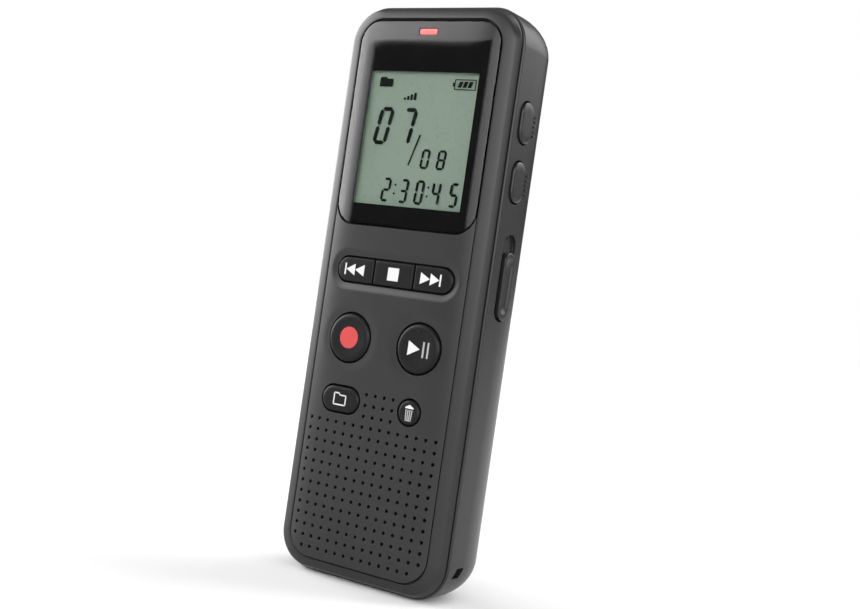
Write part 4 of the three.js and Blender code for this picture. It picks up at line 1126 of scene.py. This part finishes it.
def panel(left, right, bottom, top, edge, glow):
    """A soft light panel between two bearings and two heights, in degrees; 0 is in front, 90 on the right."""
    mask = sky_math("MULTIPLY", sky_step(bearing, left, left + edge),
                    sky_step(bearing, right - edge, right, 1, 0))
    mask = sky_math("MULTIPLY", mask, sky_step(height, bottom, bottom + edge))
    mask = sky_math("MULTIPLY", mask, sky_step(height, top - edge, top, 1, 0))
    return sky_math("MULTIPLY", mask, glow)


ambient = sky_step(height, -20, 60, 0.03, 0.25)
left_panel = sky_math("MULTIPLY", panel(-115, -42, -35, 36, 4, 1.0), sky_step(bearing, -60, -42, 10.0, 2.7))
left_panel = sky_math("MULTIPLY", left_panel, sky_step(height, -16, 14, 0.92, 0.76))
slope = sky_math("MULTIPLY_ADD", bearing, -0.05, height)
top_panel = sky_math("MULTIPLY", panel(-100, 10, 5, 46, 4, 1.0), sky_step(slope, 13.0, 13.8))
top_panel = sky_math("MULTIPLY", top_panel, sky_step(bearing, -48, -15, 6.5, 1.8))
right_panel = sky_math("MULTIPLY", panel(-17, 95, -14, 36, 7, 1.0), sky_step(bearing, -12, 25, 2.6, 6.0))
right_panel = sky_math("MULTIPLY", right_panel, sky_step(height, -14, 12, 0.5, 1.1))
back_panel = sky_math("MULTIPLY", panel(115, 200, 5, 75, 13, 4.2), sky_step(bearing, 146, 172, 1.0, 0.5))
back_panel = sky_math("MULTIPLY", back_panel, sky_step(height, 18, 50, 1.0, 1.7))
total = ambient
for light in (left_panel, top_panel, right_panel, back_panel):
    total = sky_math("MAXIMUM", total, light)
seen = sky.nodes.new("ShaderNodeLightPath").outputs["Is Camera Ray"]
plain = sky.nodes.new("ShaderNodeBackground")
plain.inputs["Strength"].default_value = 1.0
plain.inputs["Color"].default_value = (1, 1, 1, 1)
glowing = sky.nodes.new("ShaderNodeBackground")
sky.links.new(total, glowing.inputs["Strength"])
choose = sky.nodes.new("ShaderNodeMixShader")
sky.links.new(seen, choose.inputs[0])
sky.links.new(glowing.outputs[0], choose.inputs[1])
sky.links.new(plain.outputs[0], choose.inputs[2])
sky.links.new(choose.outputs[0], sky.nodes.new("ShaderNodeOutputWorld").inputs["Surface"])


def area_light(name, azimuth, elevation, distance, size, power):
    lamp = bpy.data.lights.new(name, "AREA")
    lamp.size = size
    lamp.energy = power
    holder = bpy.data.objects.new(name, lamp)
    turn, rise = math.radians(azimuth), math.radians(elevation)
    towards = Vector((math.sin(turn) * math.cos(rise), -math.cos(turn) * math.cos(rise), math.sin(rise)))
    holder.location = towards * distance + Vector((0, 0, HEIGHT * MM / 2))
    holder.rotation_euler = towards.to_track_quat("Z", "Y").to_euler()
    holder.visible_camera = False
    bpy.context.scene.collection.objects.link(holder)
    return holder


area_light("overhead", -30, 80, 1.4, 1.6, 3.5)

AZIMUTH, ELEVATION, ROLL = (math.radians(angle) for angle in (32.536, -0.0785, 8.262))
back = Vector((math.sin(AZIMUTH) * math.cos(ELEVATION), -math.cos(AZIMUTH) * math.cos(ELEVATION),
               math.sin(ELEVATION)))
level = Vector((0, 0, 1)).cross(back).normalized()
upright = back.cross(level)
camera_right = level * math.cos(ROLL) + upright * math.sin(ROLL)
camera_up = upright * math.cos(ROLL) - level * math.sin(ROLL)
lens_data = bpy.data.cameras.new("camera")
lens_data.sensor_width = 36
lens_data.lens = 53.57
lens_data.clip_start = 0.01
lens_data.clip_end = 200
camera = bpy.data.objects.new("camera", lens_data)
camera.matrix_world = Matrix.Translation((0.13242, -0.20313, 0.05272)) @ Matrix(
    (camera_right, camera_up, back)).transposed().to_4x4()
bpy.context.scene.collection.objects.link(camera)
bpy.context.scene.camera = camera
bpy.context.scene.view_settings.view_transform = "Standard"

low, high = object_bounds()
